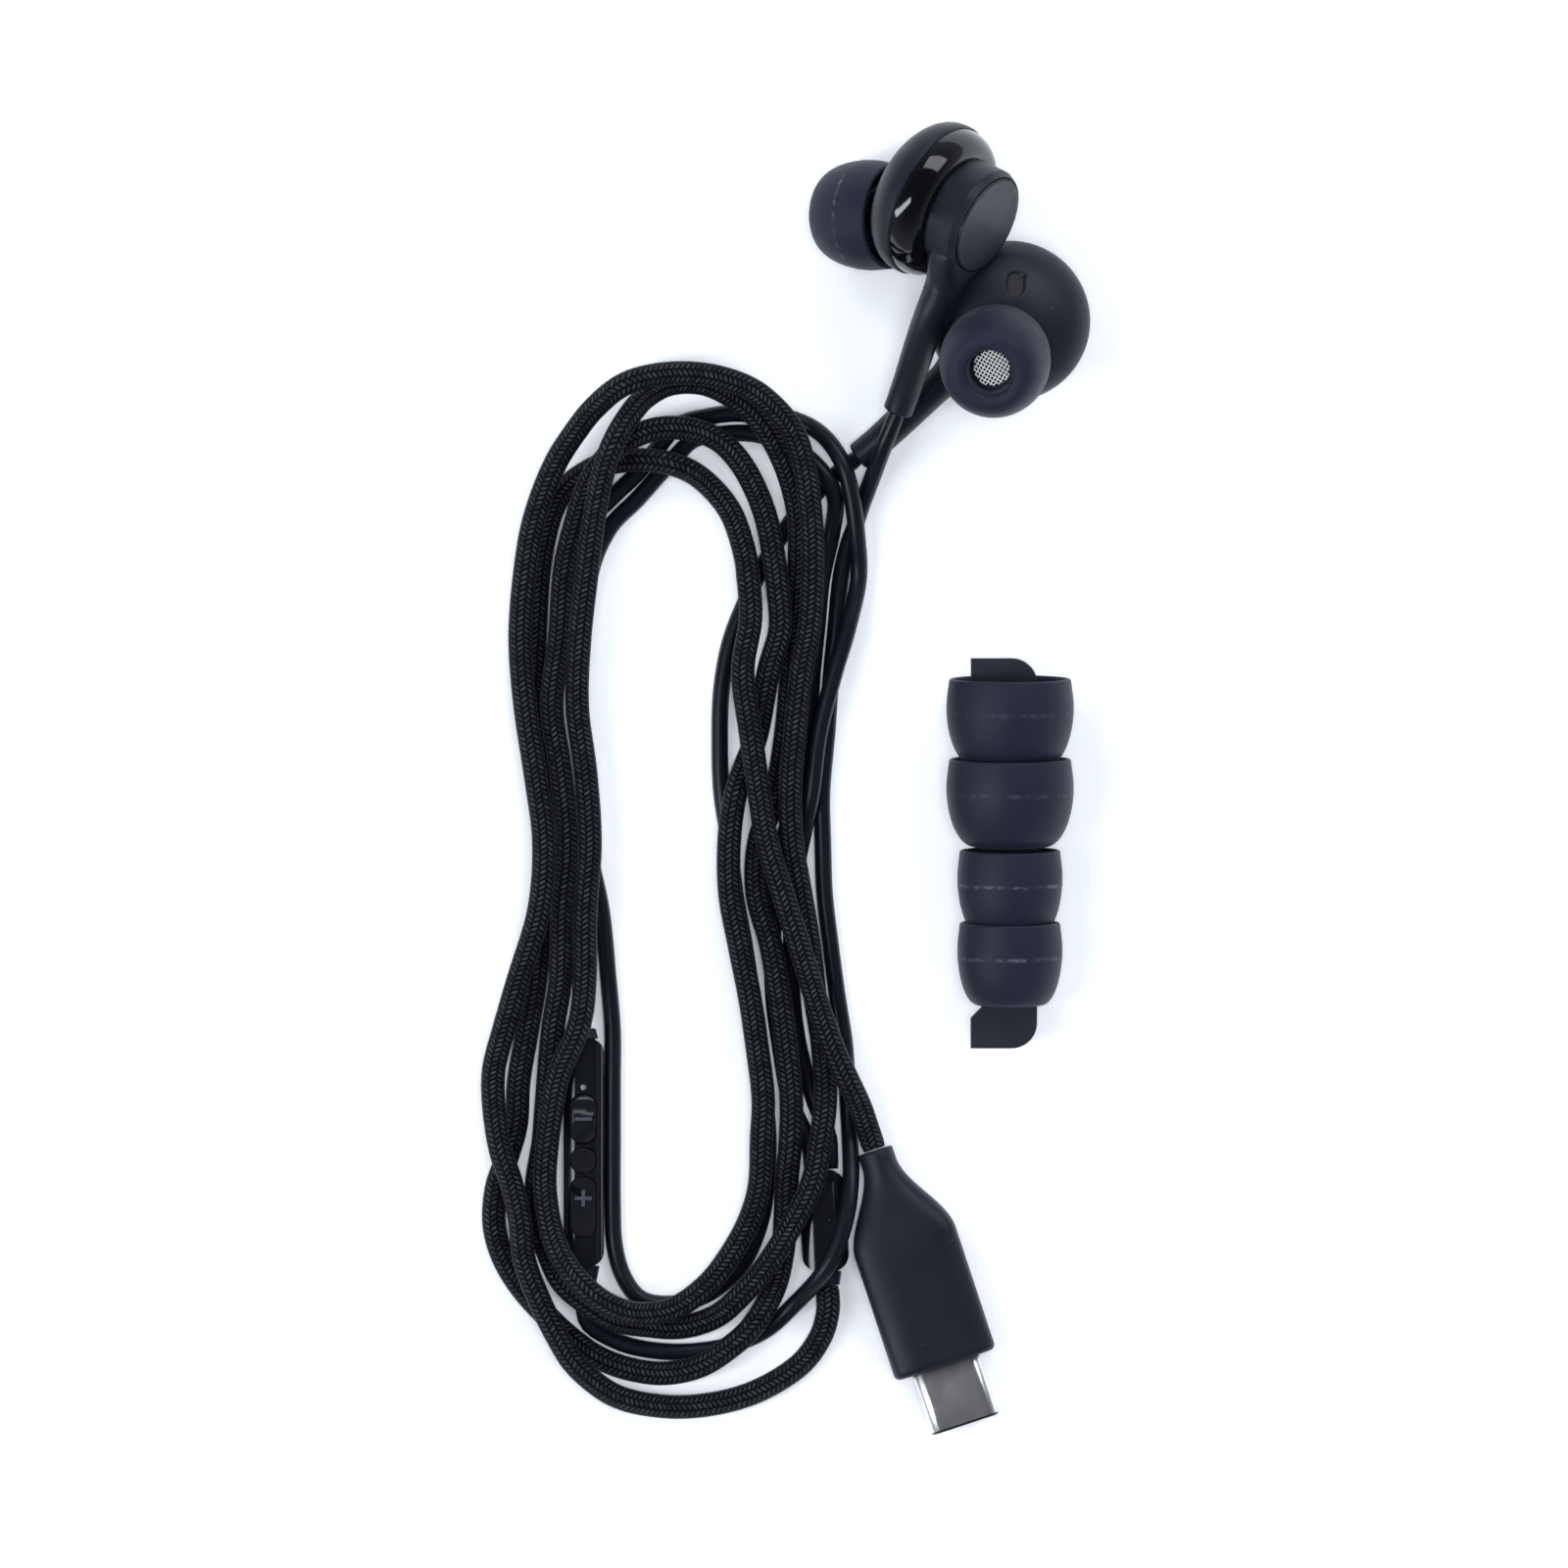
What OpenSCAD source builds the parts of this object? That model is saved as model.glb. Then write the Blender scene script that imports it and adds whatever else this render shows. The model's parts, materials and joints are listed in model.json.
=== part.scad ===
// Wired earphones laid on a table. Two silicone-tipped buds on thin round cords, a three-button
// in-line remote, a splitter, a braided cord wound in a loose four-turn hank, a USB-C plug, and
// four spare ear tips threaded on a flat card. Millimetres. +Z is up, and the table is z = 0.

/* [Earbud shells] */
// Diameter of the matte front shell
shell_d = 18.8; // [17.5:0.1:23]
// Wall of the shells
shell_wall = 0.9; // [0.7:0.05:1.2]
// Height of the straight rim of the front shell
rim_h = 0.9; // [0.6:0.1:1.5]
// Height of the front dome above its rim
dome_h = 5.2; // [4.2:0.1:7]
// Step in from the front shell to the glossy rear shell, on the radius
crease_step = 0.25; // [0.1:0.05:0.5]
// Depth of the rear shell behind the crease
rear_depth = 3.1; // [3:0.1:4]
// Diameter of the round barrel behind the rear shell
barrel_d = 13.2; // [12.8:0.1:14.6]
// Length of the barrel
barrel_depth = 4.1; // [3.9:0.1:5.5]
// Diameter of the flat cap on the barrel's end
cap_d = 11.4; // [10.2:0.1:11.6]
// Depth of the dish in the cap's face
cap_dish = 0.25; // [0.05:0.05:0.4]
// Width of the flat rim round the dish
cap_rim = 0.25; // [0.1:0.05:0.6]
// Diameter of the cord boot at the barrel and at its free end
boot_d_root = 4.3; // [3.8:0.1:4.8]
boot_d_end = 3.5; // [2.8:0.1:4.2]
// Reach of the barrel's neck from the bud's axis to the boot
neck_reach = 9.2; // [8.6:0.1:11]

/* [Nozzle and fitted tips] */
// Outer diameter of the sound tube
nozzle_d = 4.6; // [4:0.1:4.9]
// Diameter of its sound bore
nozzle_bore = 3.4; // [2.6:0.1:3.7]
// Length of the sound tube from its root on the dome
nozzle_len = 7.6; // [6.8:0.1:8.6]
// Lean of the sound tube towards the stem and to the side, in degrees
nozzle_lean = 20; // [12:1:24]
nozzle_turn = 7; // [0:1:12]
// Diameter and length of a fitted ear tip
tip_d = 13; // [11.5:0.1:15.6]
tip_len = 9; // [8:0.1:10.5]
// Bore of a fitted tip's sleeve
tip_bore = 5.2; // [5.15:0.05:5.4]
// Wall of an ear tip's dome
tip_wall = 0.7; // [0.5:0.05:1]

/* [Speaker driver] */
// Outer diameter of the driver's cup
cup_d = 12.2; // [11.4:0.1:12.2]
// Diameter of the ring magnet and its pole
magnet_d = 6.8; // [5.6:0.1:7]
// Diameter of the diaphragm
diaphragm_d = 14.6; // [13.6:0.1:15]

/* [Remote] */
// Length, width and thickness of the remote's case
remote_l = 26.7; // [25:0.1:34]
remote_w = 4.8; // [4.7:0.1:5.8]
remote_h = 4; // [3.9:0.1:4.8]
// Length of the volume up button, the play button and the volume down button
up_button_l = 7; // [5:0.1:7.6]
play_button_l = 2.9; // [2.4:0.1:3.2]
down_button_l = 5.8; // [4:0.1:7.4]
// Width of the buttons
button_w = 3; // [2.4:0.1:3.2]
// Height of the buttons above the case, which is also more than their travel
button_rise = 0.35; // [0.3:0.05:0.5]
// Clearance round each button
button_gap = 0.12; // [0.08:0.01:0.2]

/* [Splitter] */
// Length, width and thickness of the splitter
splitter_l = 12; // [10:0.1:13]
splitter_w = 5.6; // [5.2:0.1:6.8]
splitter_h = 3.8; // [3.7:0.1:4.6]

/* [Plug] */
// Length, width and thickness of the plug's moulded boot
plug_l = 26.5; // [25:0.1:32]
plug_w = 12.4; // [11.8:0.1:15]
plug_h = 6.2; // [5.4:0.1:7.2]
// Diameter of the boot where the cord enters
plug_neck_d = 4.2; // [3.4:0.1:5]
// Length over which the boot widens
plug_flare = 10; // [8:0.1:10.5]
// Width, height and free length of the metal shell, which are the standard's own
usb_w = 8.25; // [8.2:0.01:8.3]
usb_h = 2.4; // [2.36:0.01:2.44]
usb_free = 7.4; // [6.4:0.1:7.4]

/* [Spare tips] */
// Length, shank width and thickness of the card
card_l = 45.8; // [45.8:0.1:55]
card_w = 6.4; // [5.4:0.1:6.4]
card_t = 0.8; // [0.5:0.05:1]
// Reach of the square tabs at the card's ends past its shank
card_tab = 1.4; // [0.8:0.1:1.6]
// Diameter and length of the two large spare tips
large_tip_d = 15; // [13.4:0.1:18]
large_tip_len = 10.3; // [9.6:0.1:10.5]
// Diameter and length of the two small spare tips
small_tip_d = 12.4; // [11.6:0.1:14.9]
small_tip_len = 9.7; // [9.5:0.1:11]

/* [Cords] */
// Diameter of the braided cord
braid_d = 2.8; // [2.4:0.05:2.8]
// Diameter of the smooth cords to the buds
cord_d = 2; // [1.6:0.05:2]

/* [Hidden] */
$fn = 48;

// ---- Clearances ----
snug = 0.05;
loose = 0.1;

// ---- Vectors, frames and swept tubes ----
function unit(v) = v / norm(v);
// A frame is [origin, x, y, z]: z is the way it faces, and y is as near as can be to up
function facing(origin, front, up) =
    let (z = unit(front), x = unit(cross(up, z)))
    [origin, x, cross(z, x), z];
function place(f, p) = f[0] + p.x * f[1] + p.y * f[2] + p.z * f[3];
function matrix(f) = [for (i = [0:2]) [f[1][i], f[2][i], f[3][i], f[0][i]]];
module in_frame(f) {
    multmatrix(matrix(f)) children();
}

// A smooth curve through every point of a list, with each span cut in steps
function spline_point(a, b, c, d, t) =
    0.5 * (2 * b + (c - a) * t + (2 * a - 5 * b + 4 * c - d) * t * t
        + (3 * b - a - 3 * c + d) * t * t * t);
function spline(p, steps) =
    let (last = len(p) - 1,
         q = concat([2 * p[0] - p[1]], p, [2 * p[last] - p[last - 1]]))
    concat(
        [for (i = [1:last], k = [0:steps - 1])
            spline_point(q[i - 1], q[i], q[i + 1], q[i + 2], k / steps)],
        [p[last]]);
// The same curve held at or above a height, which is a cord's own radius over the table
function laid(p, r, steps) = [for (q = spline(p, steps)) [q.x, q.y, max(q.z, r)]];

function heading(path, i) = unit(path[min(i + 1, len(path) - 1)] - path[max(i - 1, 0)]);
function ring(centre, along, r, sides) =
    let (x = unit(cross(along, [0, 0, 1])), y = cross(x, along))
    [for (k = [0:sides - 1]) centre + r * (cos(360 * k / sides) * x + sin(360 * k / sides) * y)];

// A closed skin over a list of rings that all have the same number of points
module skin(rings) {
    n = len(rings[0]);
    last = (len(rings) - 1) * n;
    points = [for (r = rings) each r];
    sides = [for (i = [0:len(rings) - 2], k = [0:n - 1])
        let (a = i * n + k, b = i * n + (k + 1) % n)
        each [[a, b, b + n], [a, b + n, a + n]]];
    start = [for (k = [1:n - 2]) [0, k + 1, k]];
    end = [for (k = [1:n - 2]) [last, last + k, last + k + 1]];
    polyhedron(points = points, faces = concat(start, sides, end));
}

module tube(path, r, sides) {
    skin([for (i = [0:len(path) - 1]) ring(path[i], heading(path, i), r, sides)]);
}

// Least distance between a cord's surface and its own later turns
function least_gap(path, r, apart) =
    min([for (i = [0:len(path) - 1 - apart], j = [i + apart:len(path) - 1])
        norm(path[i] - path[j])]) - 2 * r;

// ---- Plane shapes with round corners or ends ----
module slab(w, l, r) {
    square([w - 2 * r, l], center = true);
    square([w, l - 2 * r], center = true);
    for (x = [-1, 1], y = [-1, 1])
        translate([x * (w / 2 - r), y * (l / 2 - r)]) circle(r);
}
module stadium(w, l) {
    slab(w, l, min(w, l) / 2 - 0.001);
}
// A round-cornered bar that lies along Y, with its underside at z = 0
module bar(w, l, h, r_section, r_plan) {
    intersection() {
        linear_extrude(h) slab(w, l, r_plan);
        translate([0, l / 2, h / 2]) rotate([90, 0, 0]) linear_extrude(l) slab(w, h, r_section);
    }
}

// ---- Earbud ----
// Each bud has its own frame. z = 0 is the crease between its shells, +Z is towards the ear,
// and +Y is away from the stem. side is 1 for the left bud and -1 for the right one.
shell_r = shell_d / 2;
barrel_r = barrel_d / 2;
cap_r = cap_d / 2;
barrel_end = -rear_depth - barrel_depth;
stem_z = -rear_depth - barrel_depth / 2;
neck_d = min(boot_d_root, barrel_depth - 0.1);
cavity_r = cup_d / 2 + loose;
flange_r = shell_r - shell_wall - 0.65;
flange_pocket_r = flange_r + loose;
flange_t = 0.7;
flange_back = -0.9;
cap_seat_t = 0.9;
cap_ring_w = 0.25;
cap_recess_r = cap_r + cap_ring_w + 2 * snug;
barrel_edge = 0.75 * (barrel_r - cap_recess_r);  // the bevel round the cap
barrel_edge_h = 0.8;
barrel_bore_r = cap_r - 0.5;
cup_depth = rear_depth - 0.5;
mesh_r = nozzle_bore / 2 + 0.5;
bead_r = tip_bore / 2 - snug;
nozzle_foot = [2, -3.8, 4.6];
nozzle_shoulder = 3;
nozzle_shoulder_r = 2.9;
fitted_skirt = 1.2;
sleeve_setback = 2;
vent_x = -2.7;
vent_y = 2.8;
vent_r = norm([vent_x, vent_y]);
vent_w = 1.9;
vent_l = 2.9;

left_bud = facing([6.75, 31.05, 7.81], [0.055, 0.05, 0.997], [0.749, 0.659, -0.074]);
// The right bud lies against the left one, so their spacing follows the shells, barrels and tips
bud_nesting = 14.527;
bud_spacing = shell_d + (barrel_d + tip_d) / 2 - bud_nesting;
right_bud = facing(left_bud[0] + bud_spacing * unit([-8.5, 13.9, 6.03]),
    [-0.79, 0.41, -0.45], [0.4, 0.907, 0.124]);

function dome_z(r, h, radius) = rim_h + h * sqrt(1 - pow(r / radius, 2));
function dome_profile(radius, h) = [for (a = [0:7.5:90]) [radius * cos(a), rim_h + h * sin(a)]];

module on_nozzle(side) {
    translate([side * nozzle_foot.x, nozzle_foot.y, nozzle_foot.z])
        rotate([nozzle_lean, side * nozzle_turn, 0]) children();
}

module at_vent(side) {
    slope = atan(dome_h * vent_r / (shell_r * shell_r * sqrt(1 - pow(vent_r / shell_r, 2))));
    rotate([0, 0, atan2(vent_y, side * vent_x)])
        translate([vent_r, 0, dome_z(vent_r, dome_h, shell_r)]) rotate([0, slope, 0]) children();
}

module front_shell(side) {
    inner_r = shell_r - shell_wall;
    inner_h = dome_h - shell_wall;
    color("dimgray") difference() {
        union() {
            rotate_extrude()
                polygon(concat([[0, 0], [shell_r - 0.15, 0], [shell_r, 0.2]], dome_profile(shell_r, dome_h)));
            on_nozzle(side) {
                translate([0, 0, -0.5])
                    cylinder(r1 = 4.7, r2 = nozzle_shoulder_r, h = nozzle_shoulder + 0.5);
                cylinder(d = nozzle_d, h = nozzle_len);
                translate([0, 0, nozzle_len - 0.9]) cylinder(r = bead_r, h = 0.9);
            }
        }
        translate([0, 0, -0.01])
            rotate_extrude() polygon(concat([[0, 0], [inner_r, 0]], dome_profile(inner_r, inner_h)));
        on_nozzle(side) {
            translate([0, 0, -2.5]) cylinder(d = nozzle_bore, h = nozzle_len + 3);
            translate([0, 0, nozzle_len - 0.25]) cylinder(r = mesh_r, h = 1);
        }
        at_vent(side) {
            translate([0, 0, -0.35]) linear_extrude(1) stadium(vent_l, vent_w);
            translate([0, 0, -2]) linear_extrude(3) stadium(vent_l - 0.9, vent_w - 0.9);
        }
    }
}

module nozzle_mesh(side) {
    color("silver") on_nozzle(side)
        translate([0, 0, nozzle_len - 0.22]) cylinder(r = mesh_r - snug, h = 0.15);
}

module vent_mesh(side) {
    color("silver") at_vent(side)
        translate([0, 0, -0.33]) linear_extrude(0.15) stadium(vent_l - loose, vent_w - loose);
}

module rear_shell(side) {
    r0 = shell_r - crease_step;
    r1 = barrel_r + 0.15;
    lip_r = shell_r - shell_wall - snug;
    color("black") difference() {
        rotate_extrude() polygon(concat(
            [[0, -rear_depth], [0, 0.7], [lip_r, 0.7], [lip_r, 0]],
            [for (a = [0:7.5:90]) [r1 + (r0 - r1) * cos(a), -rear_depth * sin(a)]]));
        translate([0, 0, -rear_depth - 1]) cylinder(r = cavity_r, h = rear_depth + 3);
        translate([0, 0, flange_back - snug]) cylinder(r = flange_pocket_r, h = 3);
    }
}

module driver_frame(side) {
    color("gainsboro") difference() {
        union() {
            translate([0, 0, flange_back]) cylinder(r = flange_r, h = flange_t);
            translate([0, 0, -cup_depth]) cylinder(d = cup_d, h = cup_depth + flange_back + flange_t);
        }
        translate([0, 0, -cup_depth + 0.5]) cylinder(r = cup_d / 2 - 0.5, h = 5);
        for (a = [45:90:315])
            rotate([0, 0, a]) translate([cup_d / 2 - 1.7, 0, -cup_depth - 1]) cylinder(d = 1.1, h = 3);
    }
}

module magnet(side) {
    color("dimgray") {
        translate([0, 0, -cup_depth + 0.5]) cylinder(d = magnet_d, h = 1.1);
        translate([0, 0, -cup_depth + 1.6]) cylinder(d = magnet_d - 0.3, h = 0.35);
    }
}

module voice_coil(side) {
    coil_r = magnet_d / 2 + 0.25;
    color("peru") translate([0, 0, -1.3]) difference() {
        cylinder(r = coil_r + 0.3, h = 1.45);
        translate([0, 0, -1]) cylinder(r = coil_r, h = 4);
    }
}

module diaphragm(side) {
    coil_r = magnet_d / 2 + 0.25;
    color("tan") translate([0, 0, 0.15]) rotate_extrude() polygon([
        [0, 0.75], [coil_r * 0.7, 0.5], [coil_r, 0], [coil_r + 0.4, 0],
        [(coil_r + diaphragm_d / 2) / 2, 0.35], [diaphragm_d / 2 - 0.4, 0], [diaphragm_d / 2, 0],
        [diaphragm_d / 2, 0.12], [diaphragm_d / 2 - 0.4, 0.12],
        [(coil_r + diaphragm_d / 2) / 2, 0.47], [coil_r + 0.4, 0.12], [coil_r, 0.12],
        [coil_r * 0.7, 0.62], [0, 0.87]]);
}

module barrel(side) {
    color("dimgray") difference() {
        union() {
            translate([0, 0, barrel_end])
                cylinder(r1 = barrel_r - barrel_edge, r2 = barrel_r, h = barrel_edge_h);
            translate([0, 0, barrel_end + barrel_edge_h])
                cylinder(r = barrel_r, h = barrel_depth - barrel_edge_h);
            translate([0, 0, -rear_depth - 0.1]) cylinder(r = cavity_r - snug, h = 0.4);
            translate([0, 0, stem_z]) rotate([90, 0, 0]) cylinder(d = neck_d, h = neck_reach);
            translate([0, 0, stem_z - 1.5]) linear_extrude(3) polygon([
                [-3.9, -barrel_r + 1.6], [3.9, -barrel_r + 1.6],
                [neck_d / 2 - 0.2, 0.8 - neck_reach], [0.2 - neck_d / 2, 0.8 - neck_reach]]);
        }
        translate([0, 0, barrel_end - 1]) cylinder(r = cap_recess_r, h = cap_seat_t + 1);
        translate([0, 0, barrel_end + cap_seat_t - 0.5]) cylinder(r = barrel_bore_r, h = barrel_depth + 3);
        translate([0, 0, stem_z]) rotate([90, 0, 0]) cylinder(d = 2.2, h = neck_reach + 1);
    }
}

module cap_ring(side) {
    color("black") translate([0, 0, barrel_end - 0.1]) difference() {
        cylinder(r1 = cap_recess_r - snug - 0.12, r2 = cap_recess_r - snug, h = cap_seat_t + 0.1 - snug);
        translate([0, 0, -1]) cylinder(r = cap_r + snug, h = 3);
    }
}

// The cap is turned in one piece, with its dish falling as a parabola from the rim to the middle
module cap(side) {
    rings = 8;
    dish_r = cap_r - cap_rim;
    face = barrel_end - 0.2;
    color("dimgray") rotate_extrude() polygon([
        for (i = [0:rings]) let (t = i / rings) [dish_r * t, face + cap_dish * (1 - t * t)],
        [cap_r, face], [cap_r, barrel_end + cap_seat_t - snug], [0, barrel_end + cap_seat_t - snug]]);
}

// The moulded boot that bends from the barrel's neck down to the cord's first point
module stem_boot(bud, cord) {
    a = place(bud, [0, -neck_reach, stem_z]);
    along = unit(cord[1] - cord[0]);
    d = cord[0] - snug * along;
    reach = norm(d - a) / 3;
    b = a - reach * bud[2];
    c = d - reach * along;
    count = 12;
    path = [for (i = [0:count]) let (t = i / count, s = 1 - t)
        s * s * s * a + 3 * s * s * t * b + 3 * s * t * t * c + t * t * t * d];
    color("dimgray") skin([for (i = [0:count])
        ring(path[i], i == 0 ? -bud[2] : i == count ? along : heading(path, i),
            (neck_d + (boot_d_end - neck_d) * i / count) / 2, 12)]);
}

// ---- Ear tips ----
// z = 0 is the edge of the skirt, and the nose is at z = length
module tip_body(d, length, bore, sleeve_r, nose_r, setback) {
    r = d / 2;
    wide = 0.32 * length;
    skirt_r = 0.955 * r;
    rotate_extrude() polygon(concat(
        [[skirt_r - 0.5, 0.1], [skirt_r - 0.25, 0], [skirt_r, 0.15], [0.99 * r, 0.55 * wide]],
        [for (a = [0:7.5:90]) [nose_r + (r - nose_r) * cos(a), wide + (length - wide) * sin(a)]],
        [[bore / 2 + 0.5, length - 0.05], [bore / 2 + 0.1, length - 0.4], [bore / 2, length - 0.9]],
        [[bore / 2, setback], [sleeve_r, setback]],
        [for (a = [90:-9:0]) [sleeve_r + (r - tip_wall - sleeve_r) * cos(a),
            wide + (length - 1.9 - wide) * sin(a)]]));
}

module ear_tip(side) {
    color("slategray") on_nozzle(side) translate([0, 0, fitted_skirt])
        tip_body(tip_d, tip_len, tip_bore, tip_bore / 2 + 0.8, 3.75, sleeve_setback);
}

// ---- Remote ----
// It lies along Y with its underside on the table and its buttons up
remote_at = [-43.2, -66.35, 0];
seam_z = 1.7;
remote_roof = 0.85;
remote_cavity_w = remote_w - 1;
remote_cavity_l = remote_l - 3.2;
remote_floor = 0.6;
board_z = 1.15;
board_t = 0.6;
switch_h = 0.6;
sleeve_hole_r = 1.4;
up_button_y = -6.35;
up_mark_shift = 1;
play_button_y = up_button_y + (up_button_l + play_button_l) / 2 + 0.5;
down_button_y = play_button_y + (play_button_l + down_button_l) / 2 + 0.5;
microphone_y = remote_l / 2 - 5.7;

module remote_case() {
    difference() {
        bar(remote_w, remote_l, remote_h, 1.5, 1.7);
        translate([-remote_cavity_w / 2, -remote_cavity_l / 2, remote_floor])
            cube([remote_cavity_w, remote_cavity_l, remote_h - remote_roof - remote_floor]);
        translate([0, remote_l, remote_h / 2]) rotate([90, 0, 0])
            cylinder(r = sleeve_hole_r, h = 2 * remote_l);
    }
}

module remote_front_cover() {
    color("darkslategray") translate(remote_at) difference() {
        remote_case();
        translate([-20, -50, -1]) cube([40, 100, seam_z + 1]);
        button_opening(up_button_y, up_button_l);
        button_opening(play_button_y, play_button_l);
        button_opening(down_button_y, down_button_l);
        translate([0, microphone_y, remote_h - 2]) cylinder(d = 0.7, h = 3);
    }
}

module button_opening(y, l) {
    translate([0, y, seam_z + 0.3]) linear_extrude(remote_h)
        stadium(button_w + 2 * button_gap, l + 2 * button_gap);
}

module remote_back_cover() {
    color("darkslategray") translate(remote_at) {
        difference() {
            remote_case();
            translate([-20, -50, seam_z]) cube([40, 100, remote_h]);
        }
        for (x = [-1, 1])
            translate([x * (remote_cavity_w / 2 - 0.25) - 0.25, -9, remote_floor - 0.1])
                cube([0.5, 18, board_z - remote_floor + 0.1 - snug]);
    }
}

// A cap in the cover's opening, a lip that keeps it in, and a nub over the switch
module button(y, l) {
    lip_top = remote_h - remote_roof - loose;
    translate(remote_at) translate([0, y, 0]) {
        translate([0, 0, lip_top - 0.3]) linear_extrude(0.3)
            stadium(min(button_w + 0.5, remote_cavity_w - 2 * loose), l + 0.3);
        translate([0, 0, lip_top - 0.1]) linear_extrude(remote_h + button_rise - lip_top + 0.1)
            stadium(button_w, l);
        translate([0, 0, board_z + board_t + switch_h - loose])
            cylinder(d = 1.1, h = lip_top - board_z - board_t - switch_h);
    }
}

module volume_up_button() {
    color("slategray") {
        button(up_button_y, up_button_l);
        mark(up_button_y + up_mark_shift, true);
    }
}
module play_button() {
    color("slategray") {
        button(play_button_y, play_button_l);
        translate(remote_at) translate([0, play_button_y, remote_h + button_rise - 0.1]) difference() {
            cylinder(d = 1.8, h = 0.18);
            translate([0, 0, -1]) cylinder(d = 1.2, h = 3);
        }
    }
}
module volume_down_button() {
    color("slategray") {
        button(down_button_y, down_button_l);
        mark(down_button_y, false);
    }
}
// A raised plus or minus
module mark(y, plus) {
    translate(remote_at) translate([0, y, remote_h + button_rise + 0.02]) {
        cube([2, 0.4, 0.24], center = true);
        if (plus) cube([0.4, 2, 0.24], center = true);
    }
}

module remote_circuit_board() {
    color("green") translate(remote_at) translate([0, 0, board_z + board_t / 2])
        cube([remote_cavity_w - 2 * loose, remote_cavity_l - 2 * loose, board_t], center = true);
}

module remote_switches() {
    color("silver") translate(remote_at)
        for (y = [up_button_y, play_button_y, down_button_y])
            translate([0, y, board_z + board_t]) difference() {
                translate([-1.3, -1.2, 0]) cube([2.6, 2.4, switch_h]);
                translate([0, 0, 0.15]) cylinder(d = 1.5, h = 2);
            }
}

module remote_microphone() {
    color("goldenrod") translate(remote_at) translate([-1, microphone_y - 0.8, board_z + board_t])
        cube([2, 1.6, 0.6]);
}

// A rubber sleeve that leaves the case at y and ends where the cord starts
module sleeve(y, way, l, r) {
    translate(remote_at) translate([0, y, remote_h / 2]) rotate([-90 * way, 0, 0]) {
        translate([0, 0, -1.4]) cylinder(r = sleeve_hole_r - snug, h = 1.5);
        cylinder(r1 = r, r2 = 1.4, h = l);
    }
}
module remote_top_sleeve() {
    color("dimgray") sleeve(remote_l / 2, 1, 1.2, 1.75);
}
module remote_bottom_sleeve() {
    color("dimgray") sleeve(-remote_l / 2, -1, 2.5, 1.9);
}

// ---- Splitter ----
splitter_at = [-15, -74.4, 0];
splitter_turn = 2.9;
splitter_seam = splitter_h / 2;

module in_splitter() {
    translate(splitter_at) rotate([0, 0, splitter_turn]) children();
}
module splitter_case() {
    difference() {
        bar(splitter_w, splitter_l, splitter_h, 1.7, 2.2);
        translate([0, 0, splitter_h / 2])
            cube([splitter_w - 2, splitter_l - 4, splitter_h - 1.8], center = true);
        translate([0, -splitter_l / 2 + 3, splitter_h / 2]) rotate([90, 0, 0])
            cylinder(r = 1.5, h = 5);
    }
}
module splitter_front() {
    color("darkslategray") in_splitter() difference() {
        splitter_case();
        translate([-20, -20, -1]) cube([40, 40, splitter_seam + 1]);
        translate([0.9, splitter_l / 2 - 1.3, splitter_h - 0.45]) cylinder(d = 0.9, h = 2);
    }
}
module splitter_back() {
    color("darkslategray") in_splitter() difference() {
        splitter_case();
        translate([-20, -20, splitter_seam]) cube([40, 40, splitter_h]);
    }
}
module splitter_crimp() {
    color("silver") in_splitter() translate([0, 3 - splitter_l / 2, splitter_h / 2]) rotate([-90, 0, 0])
        difference() {
            cylinder(r = min(1.3, splitter_h / 2 - 0.95), h = 3);
            translate([0, 0, 0.5]) cylinder(r = 0.6, h = 3);
        }
}
module splitter_boot() {
    color("dimgray") in_splitter() translate([0, -splitter_l / 2, splitter_h / 2]) rotate([90, 0, 0]) {
        translate([0, 0, -2]) cylinder(r = 1.45, h = 2.1);
        cylinder(r1 = 1.8, r2 = 1.5, h = 1.6);
    }
}

// ---- Plug ----
// It lies along its own +Y, from the cord to the metal shell, with its axis half its height up
plug_at = [-9, -66.1, plug_h / 2];
plug_turn = 198.3;
usb_inside = 3;
usb_start = plug_l - usb_inside;
usb_wall = 0.3;
plug_cavity = [9.6, 4.6, 3.4];
plug_cavity_start = 10.5;
plug_neck_l = 1.5;
contact_rows = 12;
contact_pitch = 0.5;
tongue_gap = 0.9;
mouth_w = 6.8;

module in_plug() {
    translate(plug_at) rotate([0, 0, plug_turn]) children();
}
function ease(t) = let (c = min(max(t, 0), 1)) c * c * (3 - 2 * c);
// A round-cornered ring across the plug at y
function plug_ring(y, w, h, power) = [for (k = [0:23]) let (c = cos(15 * k), s = sin(15 * k))
    [w / 2 * sign(c) * pow(abs(c), power), y, -h / 2 * sign(s) * pow(abs(s), power)]];
function plug_swell(y) = ease((y - plug_neck_l) / plug_flare);
function plug_station(y) =
    plug_ring(y, plug_neck_d + (plug_w - plug_neck_d) * plug_swell(y),
        plug_neck_d + (plug_h - plug_neck_d) * plug_swell(y), 1 - 0.5 * plug_swell(y));

module plug_boot() {
    stations = concat([0], [for (i = [0:9]) plug_neck_l + i * plug_flare / 9],
        [(plug_neck_l + plug_flare + plug_l) / 2, plug_l - 0.9]);
    color("dimgray") in_plug() difference() {
        skin(concat(
            [for (y = stations) plug_station(y)],
            [plug_ring(plug_l - 0.3, plug_w - 0.3, plug_h - 0.3, 0.5),
             plug_ring(plug_l, plug_w - 1.1, plug_h - 1.1, 0.5)]));
        translate([-plug_cavity.x / 2, plug_cavity_start, -plug_cavity.z / 2])
            cube([plug_cavity.x, usb_start - plug_cavity_start, plug_cavity.z]);
        translate([0, usb_start - 0.5, 0]) usb_bar(usb_w + 2 * snug, usb_h + 2 * snug, 9);
    }
}
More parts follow.
